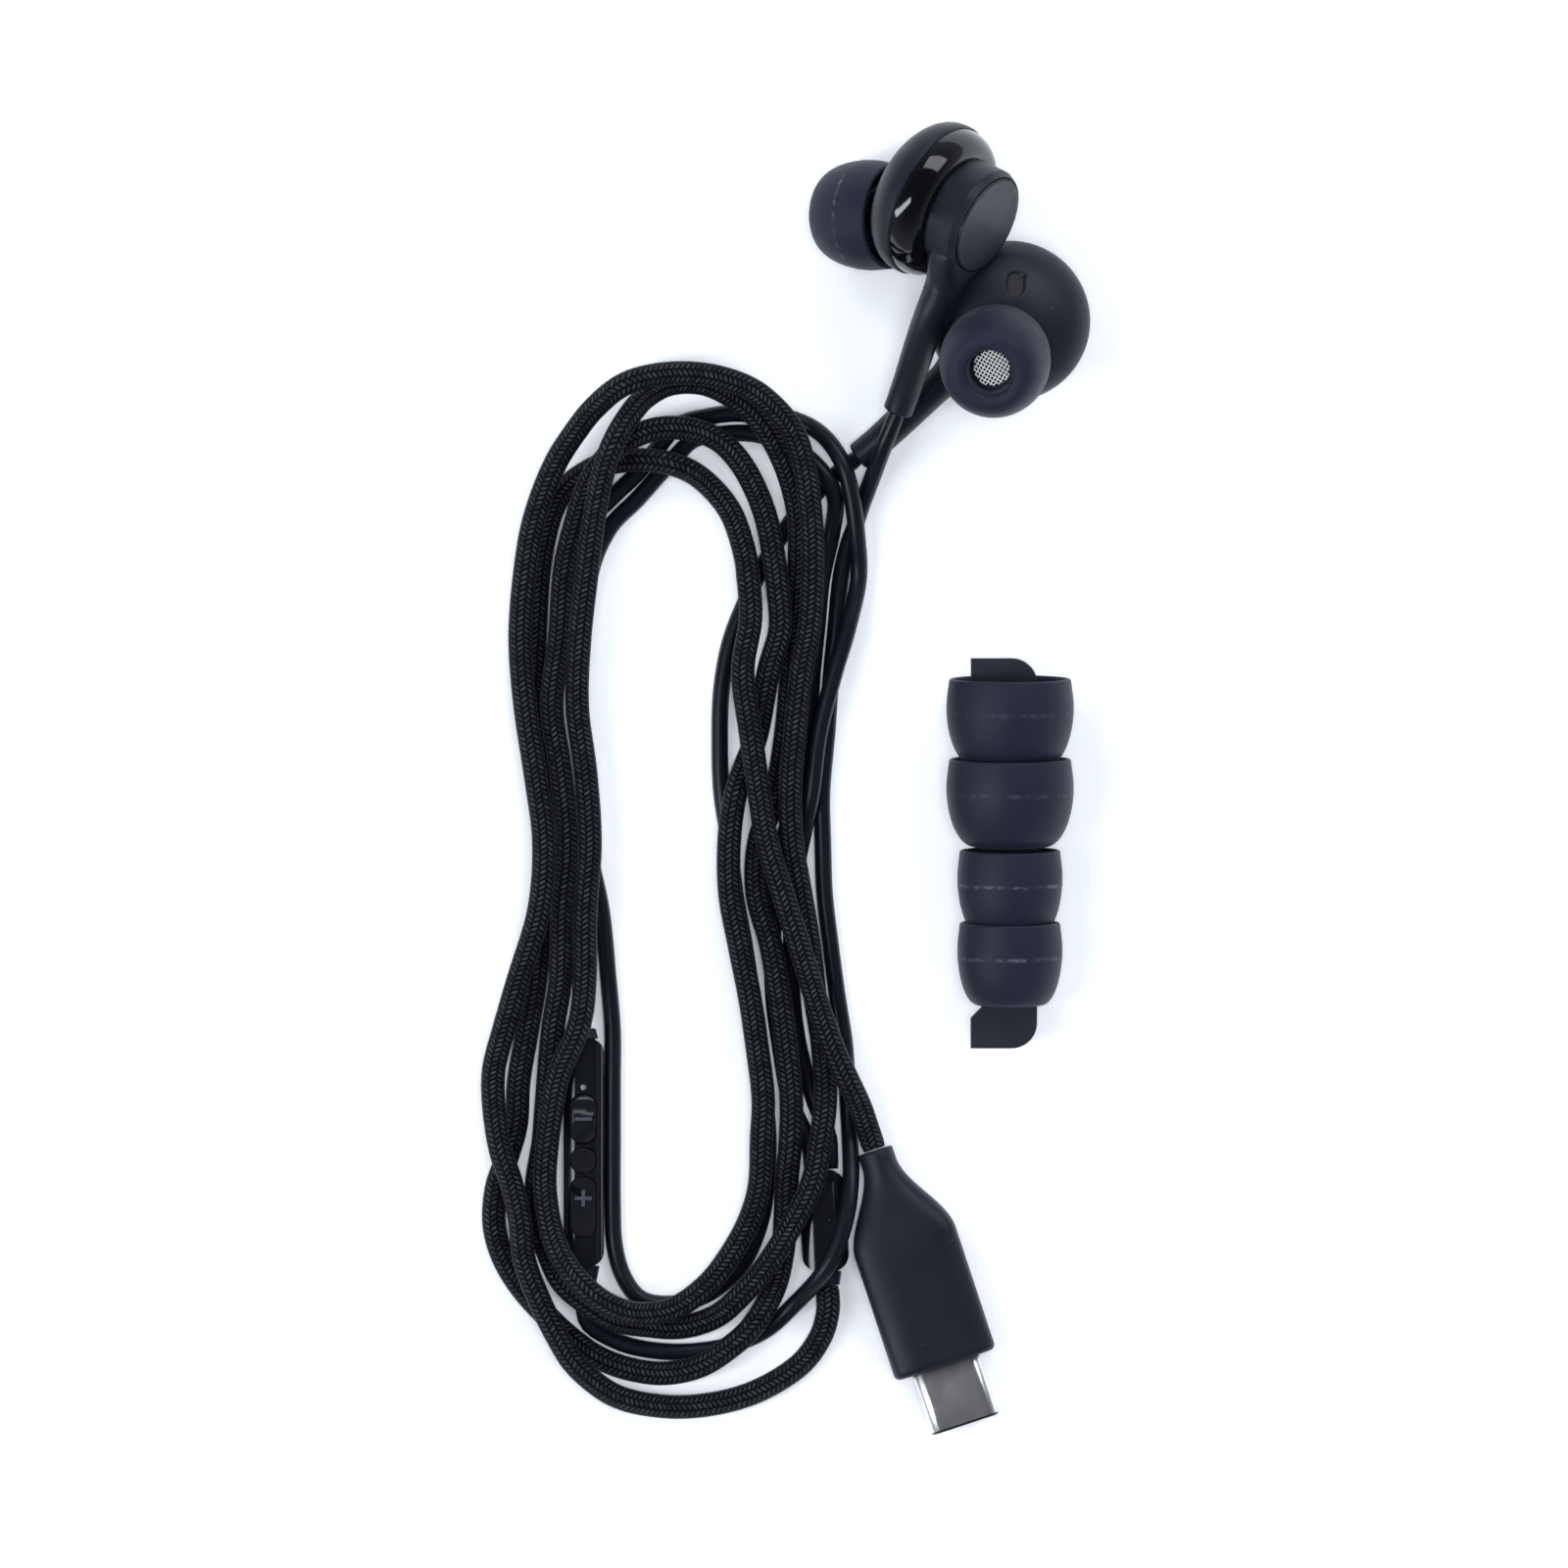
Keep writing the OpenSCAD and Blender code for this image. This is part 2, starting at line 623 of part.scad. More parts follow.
// A bar of the plug's section, from y = 0 along +Y
module usb_bar(w, h, l) {
    translate([0, l, 0]) rotate([90, 0, 0]) linear_extrude(l) stadium(w, h);
}
module plug_shell() {
    color("silver") in_plug() translate([0, usb_start, 0]) difference() {
        usb_bar(usb_w, usb_h, usb_inside + usb_free);
        translate([0, -1, 0]) usb_bar(usb_w - 2 * usb_wall, usb_h - 2 * usb_wall, 20);
    }
}
module plug_insulator() {
    l = usb_inside + usb_free - 0.4;
    color("black") in_plug() translate([0, usb_start, 0]) difference() {
        usb_bar(usb_w - 2 * usb_wall - 2 * snug, usb_h - 2 * usb_wall - 2 * snug, l);
        translate([-mouth_w / 2, l - 5, -tongue_gap / 2]) cube([mouth_w, 10, tongue_gap]);
    }
}
module plug_contacts() {
    l = usb_inside + usb_free - 0.4;
    color("gold") in_plug() translate([0, usb_start + l - 4.8, 0])
        for (i = [0:contact_rows - 1], z = [-1, 1])
            translate([(i - (contact_rows - 1) / 2) * contact_pitch - 0.125,
                0, z * (tongue_gap / 2 - 0.05) - 0.05]) cube([0.25, 4.4, 0.1]);
}
module plug_latches() {
    l = usb_inside + usb_free - 0.4;
    color("silver") in_plug() translate([0, usb_start + l - 4.9, 0]) for (x = [-1, 1]) {
        translate([x * (mouth_w / 2 - 0.1) - 0.1, 0, -0.3]) cube([0.2, 4.4, 0.6]);
        translate([x * (mouth_w / 2 - 0.2) - 0.15, 3.3, -0.3]) cube([0.3, 0.6, 0.6]);
    }
}
module plug_circuit_board() {
    color("green") in_plug() translate([-4.2, plug_cavity_start + 3, -0.4])
        cube([8.4, usb_start - plug_cavity_start - 3 - snug, 0.8]);
}
module plug_audio_chip() {
    color("black") in_plug() translate([-1.6, plug_cavity_start + 6, 0.4]) cube([3.2, 3.2, 0.8]);
}
module plug_crimp() {
    color("silver") in_plug() translate([0, plug_cavity_start + snug, 0]) rotate([-90, 0, 0])
        difference() {
            cylinder(r = 1.5, h = 2.9);
            translate([0, 0, 0.4]) cylinder(r = 0.9, h = 3);
        }
}

// ---- Spare tips on their card ----
// The set has its own frame. y = 0 is the card's upper end, the card runs along -Y, and z = 0 is
// the card's middle plane. It leans so that the second and the fourth tip rest on the table.
skirts = [2.4, 11.8, 22.5, 31];
slot_w = card_w + 2 * loose;
slot_t = card_t + loose;
rest_2 = skirts[1] + 0.32 * large_tip_len;
rest_4 = skirts[3] + 0.32 * small_tip_len;
card_lean = asin((large_tip_d - small_tip_d) / 2 / (rest_4 - rest_2));
card_at = [6.8, -8.4, (large_tip_d / 2 + rest_2 * sin(card_lean)) / cos(card_lean)];

module in_card() {
    translate(card_at) rotate([card_lean, 0, 0]) children();
}
module tip_card() {
    half = card_w / 2;
    left = -half - card_tab;
    corner = 3;
    upper_tab_l = skirts[0] + sleeve_setback - card_tab - loose;
    lower_tab_l = min(4, card_l - skirts[3] - small_tip_len - card_tab - loose);
    lower_tab_end = lower_tab_l - card_l;
    color("dimgray") in_card() translate([0, 0, -card_t / 2]) linear_extrude(card_t) polygon(concat(
        [[left, 0]],
        [for (a = [90:-10:0]) [half - corner + corner * cos(a), corner * sin(a) - corner]],
        [for (a = [0:-10:-90]) [half - corner + corner * cos(a), corner * sin(a) + corner - card_l]],
        [[left, -card_l], [left, lower_tab_end], [-half, lower_tab_end + card_tab],
         [-half, -upper_tab_l - card_tab], [left, -upper_tab_l]]));
}
module spare_tip(i) {
    large = i < 2;
    d = large ? large_tip_d : small_tip_d;
    l = large ? large_tip_len : small_tip_len;
    nose_r = large ? 4.2 : 3.75;
    color("slategray") in_card() translate([0, -skirts[i], 0]) rotate([90, 0, 0]) difference() {
        tip_body(d, l, tip_bore, nose_r - 0.05, nose_r, sleeve_setback);
        translate([-slot_w / 2, -slot_t / 2, -1]) cube([slot_w, slot_t, 20]);
    }
}

// ---- Cords ----
// Points along each centre line, in order from the end named first
// Splitter to plug: four turns, each down the right, along the bottom, up the left and over the top
main_points = [
    [-14.6, -82.1, 1.9], [-14.5, -84.9, 1.8], [-15.4, -88.1, 1.4], [-18, -91.5, 1.4],
    [-23, -94.5, 1.4], [-28.5, -96, 1.4], [-34, -96.2, 1.4], [-39.5, -94.9, 2.6],
    [-43.9, -91.5, 4.2], [-46.3, -87.8, 4.8], [-48.4, -83.5, 5], [-50.1, -79, 4.8],
    [-50.6, -74.5, 4.6], [-51.6, -70, 4.7], [-52.9, -66, 4.6], [-53.7, -61, 3.3],
    [-53.7, -56.5, 2.7], [-52.4, -51.5, 3.3], [-50.8, -46, 4.4], [-48.4, -38, 5.7],
    [-47.8, -30, 5.5], [-48.8, -22, 5.2], [-50, -14, 5], [-50.6, -6, 4.5], [-50, 2, 4.4],
    [-48.9, 8.1, 4.3], [-46.6, 14.2, 4.6], [-43.8, 18.6, 5.4], [-41.5, 21.3, 6.6],
    [-38.5, 23.6, 8.1], [-35, 24.7, 8], [-30.9, 25, 7.6], [-26.8, 24.4, 7], [-22.8, 22.7, 6.5],
    [-19.3, 19.3, 6.4], [-17.6, 15.5, 6.5], [-16.7, 10.2, 6.7], [-16.3, 4.3, 6.1], [-16.6, -4, 4.7],
    [-17.6, -10, 4.7], [-18.4, -17, 4.7], [-18.9, -24, 4.4], [-18.7, -30, 4.1], [-17.7, -36, 3.6],
    [-16.7, -42, 2.5], [-16, -48, 1.5], [-15.1, -54, 1.8], [-14.8, -60, 3.5], [-15.4, -65, 4.7],
    [-16.4, -70, 5.5], [-19.3, -75.8, 5.1], [-22, -80, 4.4], [-24.8, -83.2, 3.6],
    [-27.6, -85.6, 1.9], [-31.6, -86.9, 1.4], [-36, -86.7, 1.4], [-39.5, -86, 3],
    [-42.4, -84.3, 4.5], [-45.6, -81.6, 4.4], [-47.5, -77.8, 2.4], [-48.7, -74, 1.5],
    [-48.7, -70, 1.4], [-47.9, -65, 1.4], [-47.5, -60, 1.5], [-46.8, -52, 3.3], [-45.9, -46, 3.5],
    [-45.7, -38, 3.6], [-45.1, -30, 3.6], [-45.8, -22, 3.7], [-46.9, -14, 3.7], [-46, -6, 3.7],
    [-45.4, 2, 3.8], [-44, 7.9, 4.1], [-42.6, 12, 4.6], [-40.5, 15.1, 5.3], [-38, 17.2, 5.5],
    [-34.6, 18.5, 5.2], [-30.7, 18.5, 3.9], [-27.3, 17.2, 3.5], [-24.7, 14.5, 2.7],
    [-22.8, 11, 2.4], [-21.6, 7.5, 3.2], [-20.9, 3.8, 4], [-20.4, 0, 4.2], [-20.1, -4.9, 4.2],
    [-21.5, -10, 3.4], [-22.8, -17, 1.5], [-24.2, -21, 1.9], [-25.4, -24.5, 3.2], [-26.1, -30, 3.6],
    [-26, -36, 3.7], [-24.9, -42, 3.6], [-23.7, -48, 3.6], [-22.8, -54, 3.6], [-22.1, -60, 3.6],
    [-22.3, -65, 3.7], [-22.5, -70, 3.7], [-23.6, -74, 3.7], [-25.7, -78, 3.8], [-28.6, -81.8, 3.8],
    [-32.5, -84.6, 4], [-36.5, -85.2, 5.2], [-40, -84.2, 7.2], [-43, -82, 7.9], [-45.4, -79, 7],
    [-46.9, -75.5, 5.8], [-47.7, -70.5, 4.9], [-47.5, -66, 4.8], [-46.9, -61.5, 4.8],
    [-46, -57, 5.3], [-43.7, -51.5, 5.7], [-43, -46, 5.1], [-42.9, -38, 5.4], [-42.4, -30, 5.4],
    [-42.9, -22, 5.2], [-43.9, -14, 5], [-43.6, -6, 6.1], [-42.7, 2, 6.4], [-41.9, 8, 7],
    [-40.9, 13, 8.2], [-39.6, 16.8, 9.1], [-37.7, 20.1, 7.6], [-35.8, 22.3, 5.3], [-33, 23.8, 3.8],
    [-29.3, 23.9, 3.3], [-26, 22.5, 3.2], [-23, 20.1, 3.7], [-20.6, 16.6, 3.8], [-18.9, 12.5, 3.7],
    [-17.9, 7.8, 3.5], [-17.9, 2, 2.2], [-18.3, -4, 1.4], [-18.8, -10, 1.5], [-19.4, -17, 1.4],
    [-20.6, -24, 1.4], [-22.6, -30, 1.5], [-22.8, -36, 2.7], [-21.2, -42, 3.7], [-20.2, -48, 3.6],
    [-19.4, -54, 3.6], [-18.8, -60, 3.7], [-18.9, -65, 3.8], [-19.35, -70, 2.2], [-19.5, -74, 1.6],
    [-19.8, -78, 1.5], [-20.8, -82.3, 1.5], [-23.2, -86.5, 3.5], [-26, -89.2, 3.6],
    [-29.5, -91.4, 3.2], [-33.5, -92.3, 2], [-37.5, -91.9, 1.4], [-41.4, -90.5, 1.4],
    [-44.7, -88.2, 1.4], [-47.5, -85.6, 1.4], [-50.4, -82.4, 1.4], [-52.6, -78.8, 1.4],
    [-53.7, -74.8, 1.4], [-53.4, -70.5, 1.4], [-52.2, -67, 1.4], [-51.1, -63, 1.4],
    [-50.8, -58, 1.4], [-49.8, -52, 1.4], [-48.8, -46, 1.4], [-48.1, -38, 1.4], [-47.7, -30, 1.4],
    [-48.2, -22, 1.4], [-49.2, -14, 1.4], [-48.9, -6, 1.4], [-48.4, 2, 1.4], [-47.2, 8, 1.4],
    [-45.4, 11.5, 1.4], [-42.3, 13.8, 1.5], [-40, 14.6, 1.6], [-36.5, 14.9, 3.6],
    [-32.7, 14.4, 3.7], [-29.3, 12.7, 2], [-26.1, 9.1, 1.4], [-24.4, 4.5, 2.4], [-23.8, 0.5, 3.6],
    [-23.6, -4, 4.2], [-24.5, -10, 4.9], [-23.6, -17, 5], [-22.6, -24, 5.2], [-21.6, -30, 5.8],
    [-19.8, -36, 6.4], [-17.9, -42, 5.8], [-16, -48, 4.8], [-13.9, -54, 5.3], [-12.1, -58, 4.8],
    [-10.8, -60.8, 3.5], [-9.9, -63.4, 3.1], [-9.04, -66, 3.1]
];
// Right bud to the remote's lower end
right_upper_points = [
    [-6.4, 20.4, 6.6], [-7.1, 18.6, 6], [-7.9, 16.6, 5.3], [-8.8, 14.2, 3.8], [-9.7, 11.8, 2.2],
    [-10.6, 9.4, 1.1], [-11.3, 7.2, 1], [-12.1, 5, 1], [-13, 1, 1], [-13.6, -5, 1], [-14.1, -10, 1],
    [-14.6, -17, 1], [-15.2, -24, 1], [-15.1, -30, 1], [-14.9, -36, 1], [-14.2, -42, 1],
    [-13.4, -48, 1], [-12.5, -54, 1], [-12.2, -60, 1], [-11.9, -65, 1.6], [-11.8, -69, 3.6],
    [-12.2, -73, 4.8], [-13.3, -77, 5.3], [-15.2, -80.6, 5], [-18.5, -84.3, 1.6], [-21.7, -87.2, 1],
    [-25.5, -88.9, 1], [-29.5, -89.7, 1], [-33.5, -89.8, 1], [-37.5, -89.2, 1], [-40.5, -88, 1],
    [-42.6, -86.5, 1.6], [-43.2, -84.4, 2], [-43.2, -82.3, 2]
];
// Remote's upper end to the splitter
right_lower_points = [
    [-43.2, -51.7, 2], [-43.2, -49.7, 2], [-43.5, -47.6, 1.8], [-43.9, -44, 1], [-45.2, -38, 1],
    [-45.1, -30, 1], [-45.5, -22, 1], [-46.6, -14, 1], [-45.8, -6, 1], [-45, 2, 1], [-43.2, 7, 1],
    [-39.9, 10.5, 1], [-36.7, 13.6, 1], [-34.3, 16.6, 1], [-32, 19.1, 1], [-28.2, 20.1, 1],
    [-25.1, 20.4, 1], [-22, 20.1, 1], [-19.2, 19.9, 1], [-16.3, 18.7, 1.6], [-14.2, 16.8, 3.2],
    [-12.6, 14, 4.2], [-11.7, 10.5, 4], [-11.1, 6, 3.3], [-10.9, 1, 2], [-12.2, -5, 2.8],
    [-13.7, -10, 3.1], [-15.5, -17, 3.1], [-16.4, -24, 3.1], [-17.2, -28, 2], [-18, -32, 1],
    [-18.5, -36, 1], [-18.8, -42, 1], [-18.7, -48, 1], [-17.9, -54, 1], [-16.2, -60, 1],
    [-14.5, -64.3, 1.7], [-14.3, -66.3, 1.9], [-14.2, -68.3, 1.9]
];
// Left bud to the splitter
left_points = [
    [-11, 15.2, 1.9], [-12.6, 14, 1.6], [-14.2, 12.7, 1.3], [-16, 10.9, 1], [-18.2, 8.5, 1],
    [-20.4, 5.4, 1], [-22.4, 2, 1], [-24.3, -2, 1], [-26, -6.5, 1], [-27, -12, 1], [-27.2, -18, 1],
    [-27, -24, 1], [-26.1, -30, 1], [-25.4, -36, 1], [-24.3, -42, 1], [-23.4, -48, 1],
    [-22.7, -54, 1], [-21.9, -60, 1], [-21.5, -65, 1], [-21.7, -70, 1], [-22.4, -74.5, 1],
    [-24.2, -79, 1], [-26.8, -81.8, 1], [-29.9, -83.6, 1], [-33.5, -84.2, 1], [-36.6, -83.5, 1],
    [-38.6, -80.8, 1], [-39.6, -77, 1], [-39.8, -72, 1], [-39.8, -65, 1], [-39.8, -58, 1],
    [-39.8, -52, 1], [-40.3, -46, 1], [-41.1, -38, 1], [-42.7, -30, 1], [-43.1, -22, 1],
    [-43.7, -14, 1], [-43.4, -6, 1], [-42.3, 2, 1], [-40.1, 7, 1], [-37, 10.2, 1], [-34.5, 13, 1],
    [-32.3, 15.4, 1], [-30.3, 17.3, 1], [-27.5, 17.9, 1], [-24.5, 18.1, 1], [-21.8, 17.7, 1],
    [-19, 16.6, 1.4], [-16.6, 15, 3], [-14.6, 12.7, 4], [-13.6, 10, 2.8], [-14.1, 6, 1],
    [-15.2, 1, 1], [-15.8, -5, 1], [-16.3, -10, 1], [-16.9, -17, 1], [-18, -24, 1], [-20.1, -31, 1],
    [-20.7, -36, 1], [-21, -42, 1], [-20.9, -48, 1], [-20.1, -54, 1], [-19, -60, 1],
    [-17.1, -64.4, 1.6], [-16.5, -66.4, 1.9], [-16.4, -68.4, 1.9]
];
main_path = laid(main_points, braid_d / 2, 2);
right_upper_path = laid(right_upper_points, cord_d / 2, 2);
right_lower_path = laid(right_lower_points, cord_d / 2, 2);
left_path = laid(left_points, cord_d / 2, 2);
echo(least_gap_of_main_cord = least_gap(main_path, braid_d / 2, 8));
echo(least_gap_of_left_cord = least_gap(left_path, cord_d / 2, 8));

module cord(path, d) {
    color("dimgray") tube(path, d / 2, 6);
}

// ---- Assembly ----
in_frame(left_bud) ear_tip(1);  // left_ear_tip
in_frame(left_bud) nozzle_mesh(1);  // left_nozzle_mesh
in_frame(left_bud) front_shell(1);  // left_front_shell
in_frame(left_bud) vent_mesh(1);  // left_vent_mesh
in_frame(left_bud) rear_shell(1);  // left_rear_shell
in_frame(left_bud) driver_frame(1);  // left_driver_frame
in_frame(left_bud) magnet(1);  // left_magnet
in_frame(left_bud) diaphragm(1);  // left_diaphragm
in_frame(left_bud) voice_coil(1);  // left_voice_coil
in_frame(left_bud) barrel(1);  // left_barrel
in_frame(left_bud) cap_ring(1);  // left_cap_ring
in_frame(left_bud) cap(1);  // left_cap
stem_boot(left_bud, left_points);  // left_stem_boot
in_frame(right_bud) ear_tip(-1);  // right_ear_tip
in_frame(right_bud) nozzle_mesh(-1);  // right_nozzle_mesh
in_frame(right_bud) front_shell(-1);  // right_front_shell
in_frame(right_bud) vent_mesh(-1);  // right_vent_mesh
in_frame(right_bud) rear_shell(-1);  // right_rear_shell
in_frame(right_bud) driver_frame(-1);  // right_driver_frame
in_frame(right_bud) magnet(-1);  // right_magnet
in_frame(right_bud) diaphragm(-1);  // right_diaphragm
in_frame(right_bud) voice_coil(-1);  // right_voice_coil
in_frame(right_bud) barrel(-1);  // right_barrel
in_frame(right_bud) cap_ring(-1);  // right_cap_ring
in_frame(right_bud) cap(-1);  // right_cap
stem_boot(right_bud, right_upper_points);  // right_stem_boot
remote_front_cover();
remote_back_cover();
volume_up_button();
play_button();
volume_down_button();
remote_circuit_board();
remote_switches();
remote_microphone();
remote_top_sleeve();
remote_bottom_sleeve();
splitter_front();
splitter_back();
splitter_crimp();
splitter_boot();
plug_boot();
plug_shell();
plug_insulator();
plug_contacts();
plug_latches();
plug_circuit_board();
plug_audio_chip();
plug_crimp();
tip_card();
spare_tip(0);  // spare_tip_1
spare_tip(1);  // spare_tip_2
spare_tip(2);  // spare_tip_3
spare_tip(3);  // spare_tip_4
cord(left_path, cord_d);  // left_cord
cord(right_upper_path, cord_d);  // right_cord_upper
cord(right_lower_path, cord_d);  // right_cord_lower
cord(main_path, braid_d);  // main_cord
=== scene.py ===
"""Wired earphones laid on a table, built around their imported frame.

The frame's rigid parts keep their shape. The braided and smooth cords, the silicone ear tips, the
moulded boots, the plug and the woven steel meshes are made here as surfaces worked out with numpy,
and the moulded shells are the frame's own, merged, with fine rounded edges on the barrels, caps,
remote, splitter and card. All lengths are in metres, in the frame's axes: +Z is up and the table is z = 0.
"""

import json
import math

import bmesh
import bpy
import numpy as np
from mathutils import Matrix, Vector

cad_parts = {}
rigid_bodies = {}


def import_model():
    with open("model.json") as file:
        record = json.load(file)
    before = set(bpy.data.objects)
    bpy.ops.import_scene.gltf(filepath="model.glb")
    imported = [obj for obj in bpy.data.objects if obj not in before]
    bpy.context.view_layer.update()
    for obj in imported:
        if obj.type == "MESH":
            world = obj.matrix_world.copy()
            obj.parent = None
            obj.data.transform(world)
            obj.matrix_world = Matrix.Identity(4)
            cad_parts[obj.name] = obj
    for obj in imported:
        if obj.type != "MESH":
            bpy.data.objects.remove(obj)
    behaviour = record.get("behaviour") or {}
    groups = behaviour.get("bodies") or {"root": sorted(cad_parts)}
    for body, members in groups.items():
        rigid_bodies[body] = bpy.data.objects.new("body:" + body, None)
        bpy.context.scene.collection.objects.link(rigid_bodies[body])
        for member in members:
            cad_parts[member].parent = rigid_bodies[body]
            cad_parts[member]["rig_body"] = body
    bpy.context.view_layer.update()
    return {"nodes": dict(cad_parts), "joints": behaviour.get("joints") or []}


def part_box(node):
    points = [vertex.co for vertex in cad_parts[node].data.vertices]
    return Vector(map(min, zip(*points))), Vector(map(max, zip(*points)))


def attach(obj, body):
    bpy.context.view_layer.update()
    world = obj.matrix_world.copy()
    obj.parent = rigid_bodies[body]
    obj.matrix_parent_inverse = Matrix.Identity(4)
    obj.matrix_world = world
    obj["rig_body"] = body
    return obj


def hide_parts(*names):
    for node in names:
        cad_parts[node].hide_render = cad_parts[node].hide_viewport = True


bl_info = {
    "name": "Wired Earphones",
    "version": (1, 0, 0),
    "blender": (4, 5, 0),
    "location": "3D View > Sidebar > Earphones",
    "description": "Braided and smooth cords, ear tips, shells, remote and plug of wired earphones",
    "category": "Object",
}

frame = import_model()
MM = 0.001
FRAME_WELD = 1.5e-6

# ---- Where things are, as the frame has them ----
# Each bud: a point on its axis at the crease between its shells, the way its front faces, and the
# way that points from its stem to its crown
BUDS = {
    "left": ((0.00675, 0.03105, 0.00781), (0.055, 0.05, 0.997), (0.749, 0.659, -0.074), 1),
    "right": ((-0.00175, 0.04495, 0.01384), (-0.79, 0.41, -0.45), (0.4, 0.907, 0.124), -1),
}
NOZZLE_FOOT = (0.002, -0.0038, 0.0046)
NOZZLE_LEAN, NOZZLE_TURN = 20, 7
NOZZLE_LENGTH = 0.0076
NOZZLE_MOUTH_RADIUS = 0.00215
FITTED_SKIRT = 0.0012
STEM_HEIGHT, NECK_REACH = -0.00515, 0.0092
CARD_AT = (0.0068, -0.0084)
CARD_SKIRTS = (0.0024, 0.0118, 0.0225, 0.031)
PLUG_AT, PLUG_TURN = (-0.009, -0.0661, 0.0031), 198.3
BRAID_DIAMETER, CORD_DIAMETER = 0.0028, 0.002
COIL_WIRE = 0.00011
# Ear tips: diameter, length, radius of the mouth's outer edge and radius of the sleeve
TIP_BORE, TIP_SETBACK = 0.0052, 0.002
FITTED_TIP = (0.01293, 0.009, 0.00375, 0.0034)
LARGE_SPARE_TIP = (0.01493, 0.0103, 0.0042, 0.0033)
SMALL_SPARE_TIP = (0.01232, 0.0097, 0.00375, 0.00285)
# Half the width and depth of a spare tip's bore and of its sleeve, stretched over the card
SLOT_HALF_WIDTH, SLOT_HALF_DEPTH = 0.0035, 0.0006
SLEEVE_HALF_WIDTH, SLEEVE_HALF_DEPTH = 0.0043, 0.0015
# Woven wire in the sound tubes: its radius, and how far it waves
WIRE_RADIUS, WIRE_WAVE = 0.00007, 0.00004
MESH_SETBACK, MESH_TURN = 0.000145, 20
# Bend reliefs: diameters at the neck and at the free end, and the rounding there
RELIEF_NECK, RELIEF_END, RELIEF_ROUNDING = 0.004, 0.0035, 0.0003
# Stem fairings, in the barrel and over the relief: width, depth and reach from the bud's axis
FAIRING_WIDTHS, FAIRING_DEPTHS, FAIRING_REACH = (0.0087, 0.0041), (0.00416, 0.00408), (0.0048, 0.0098)

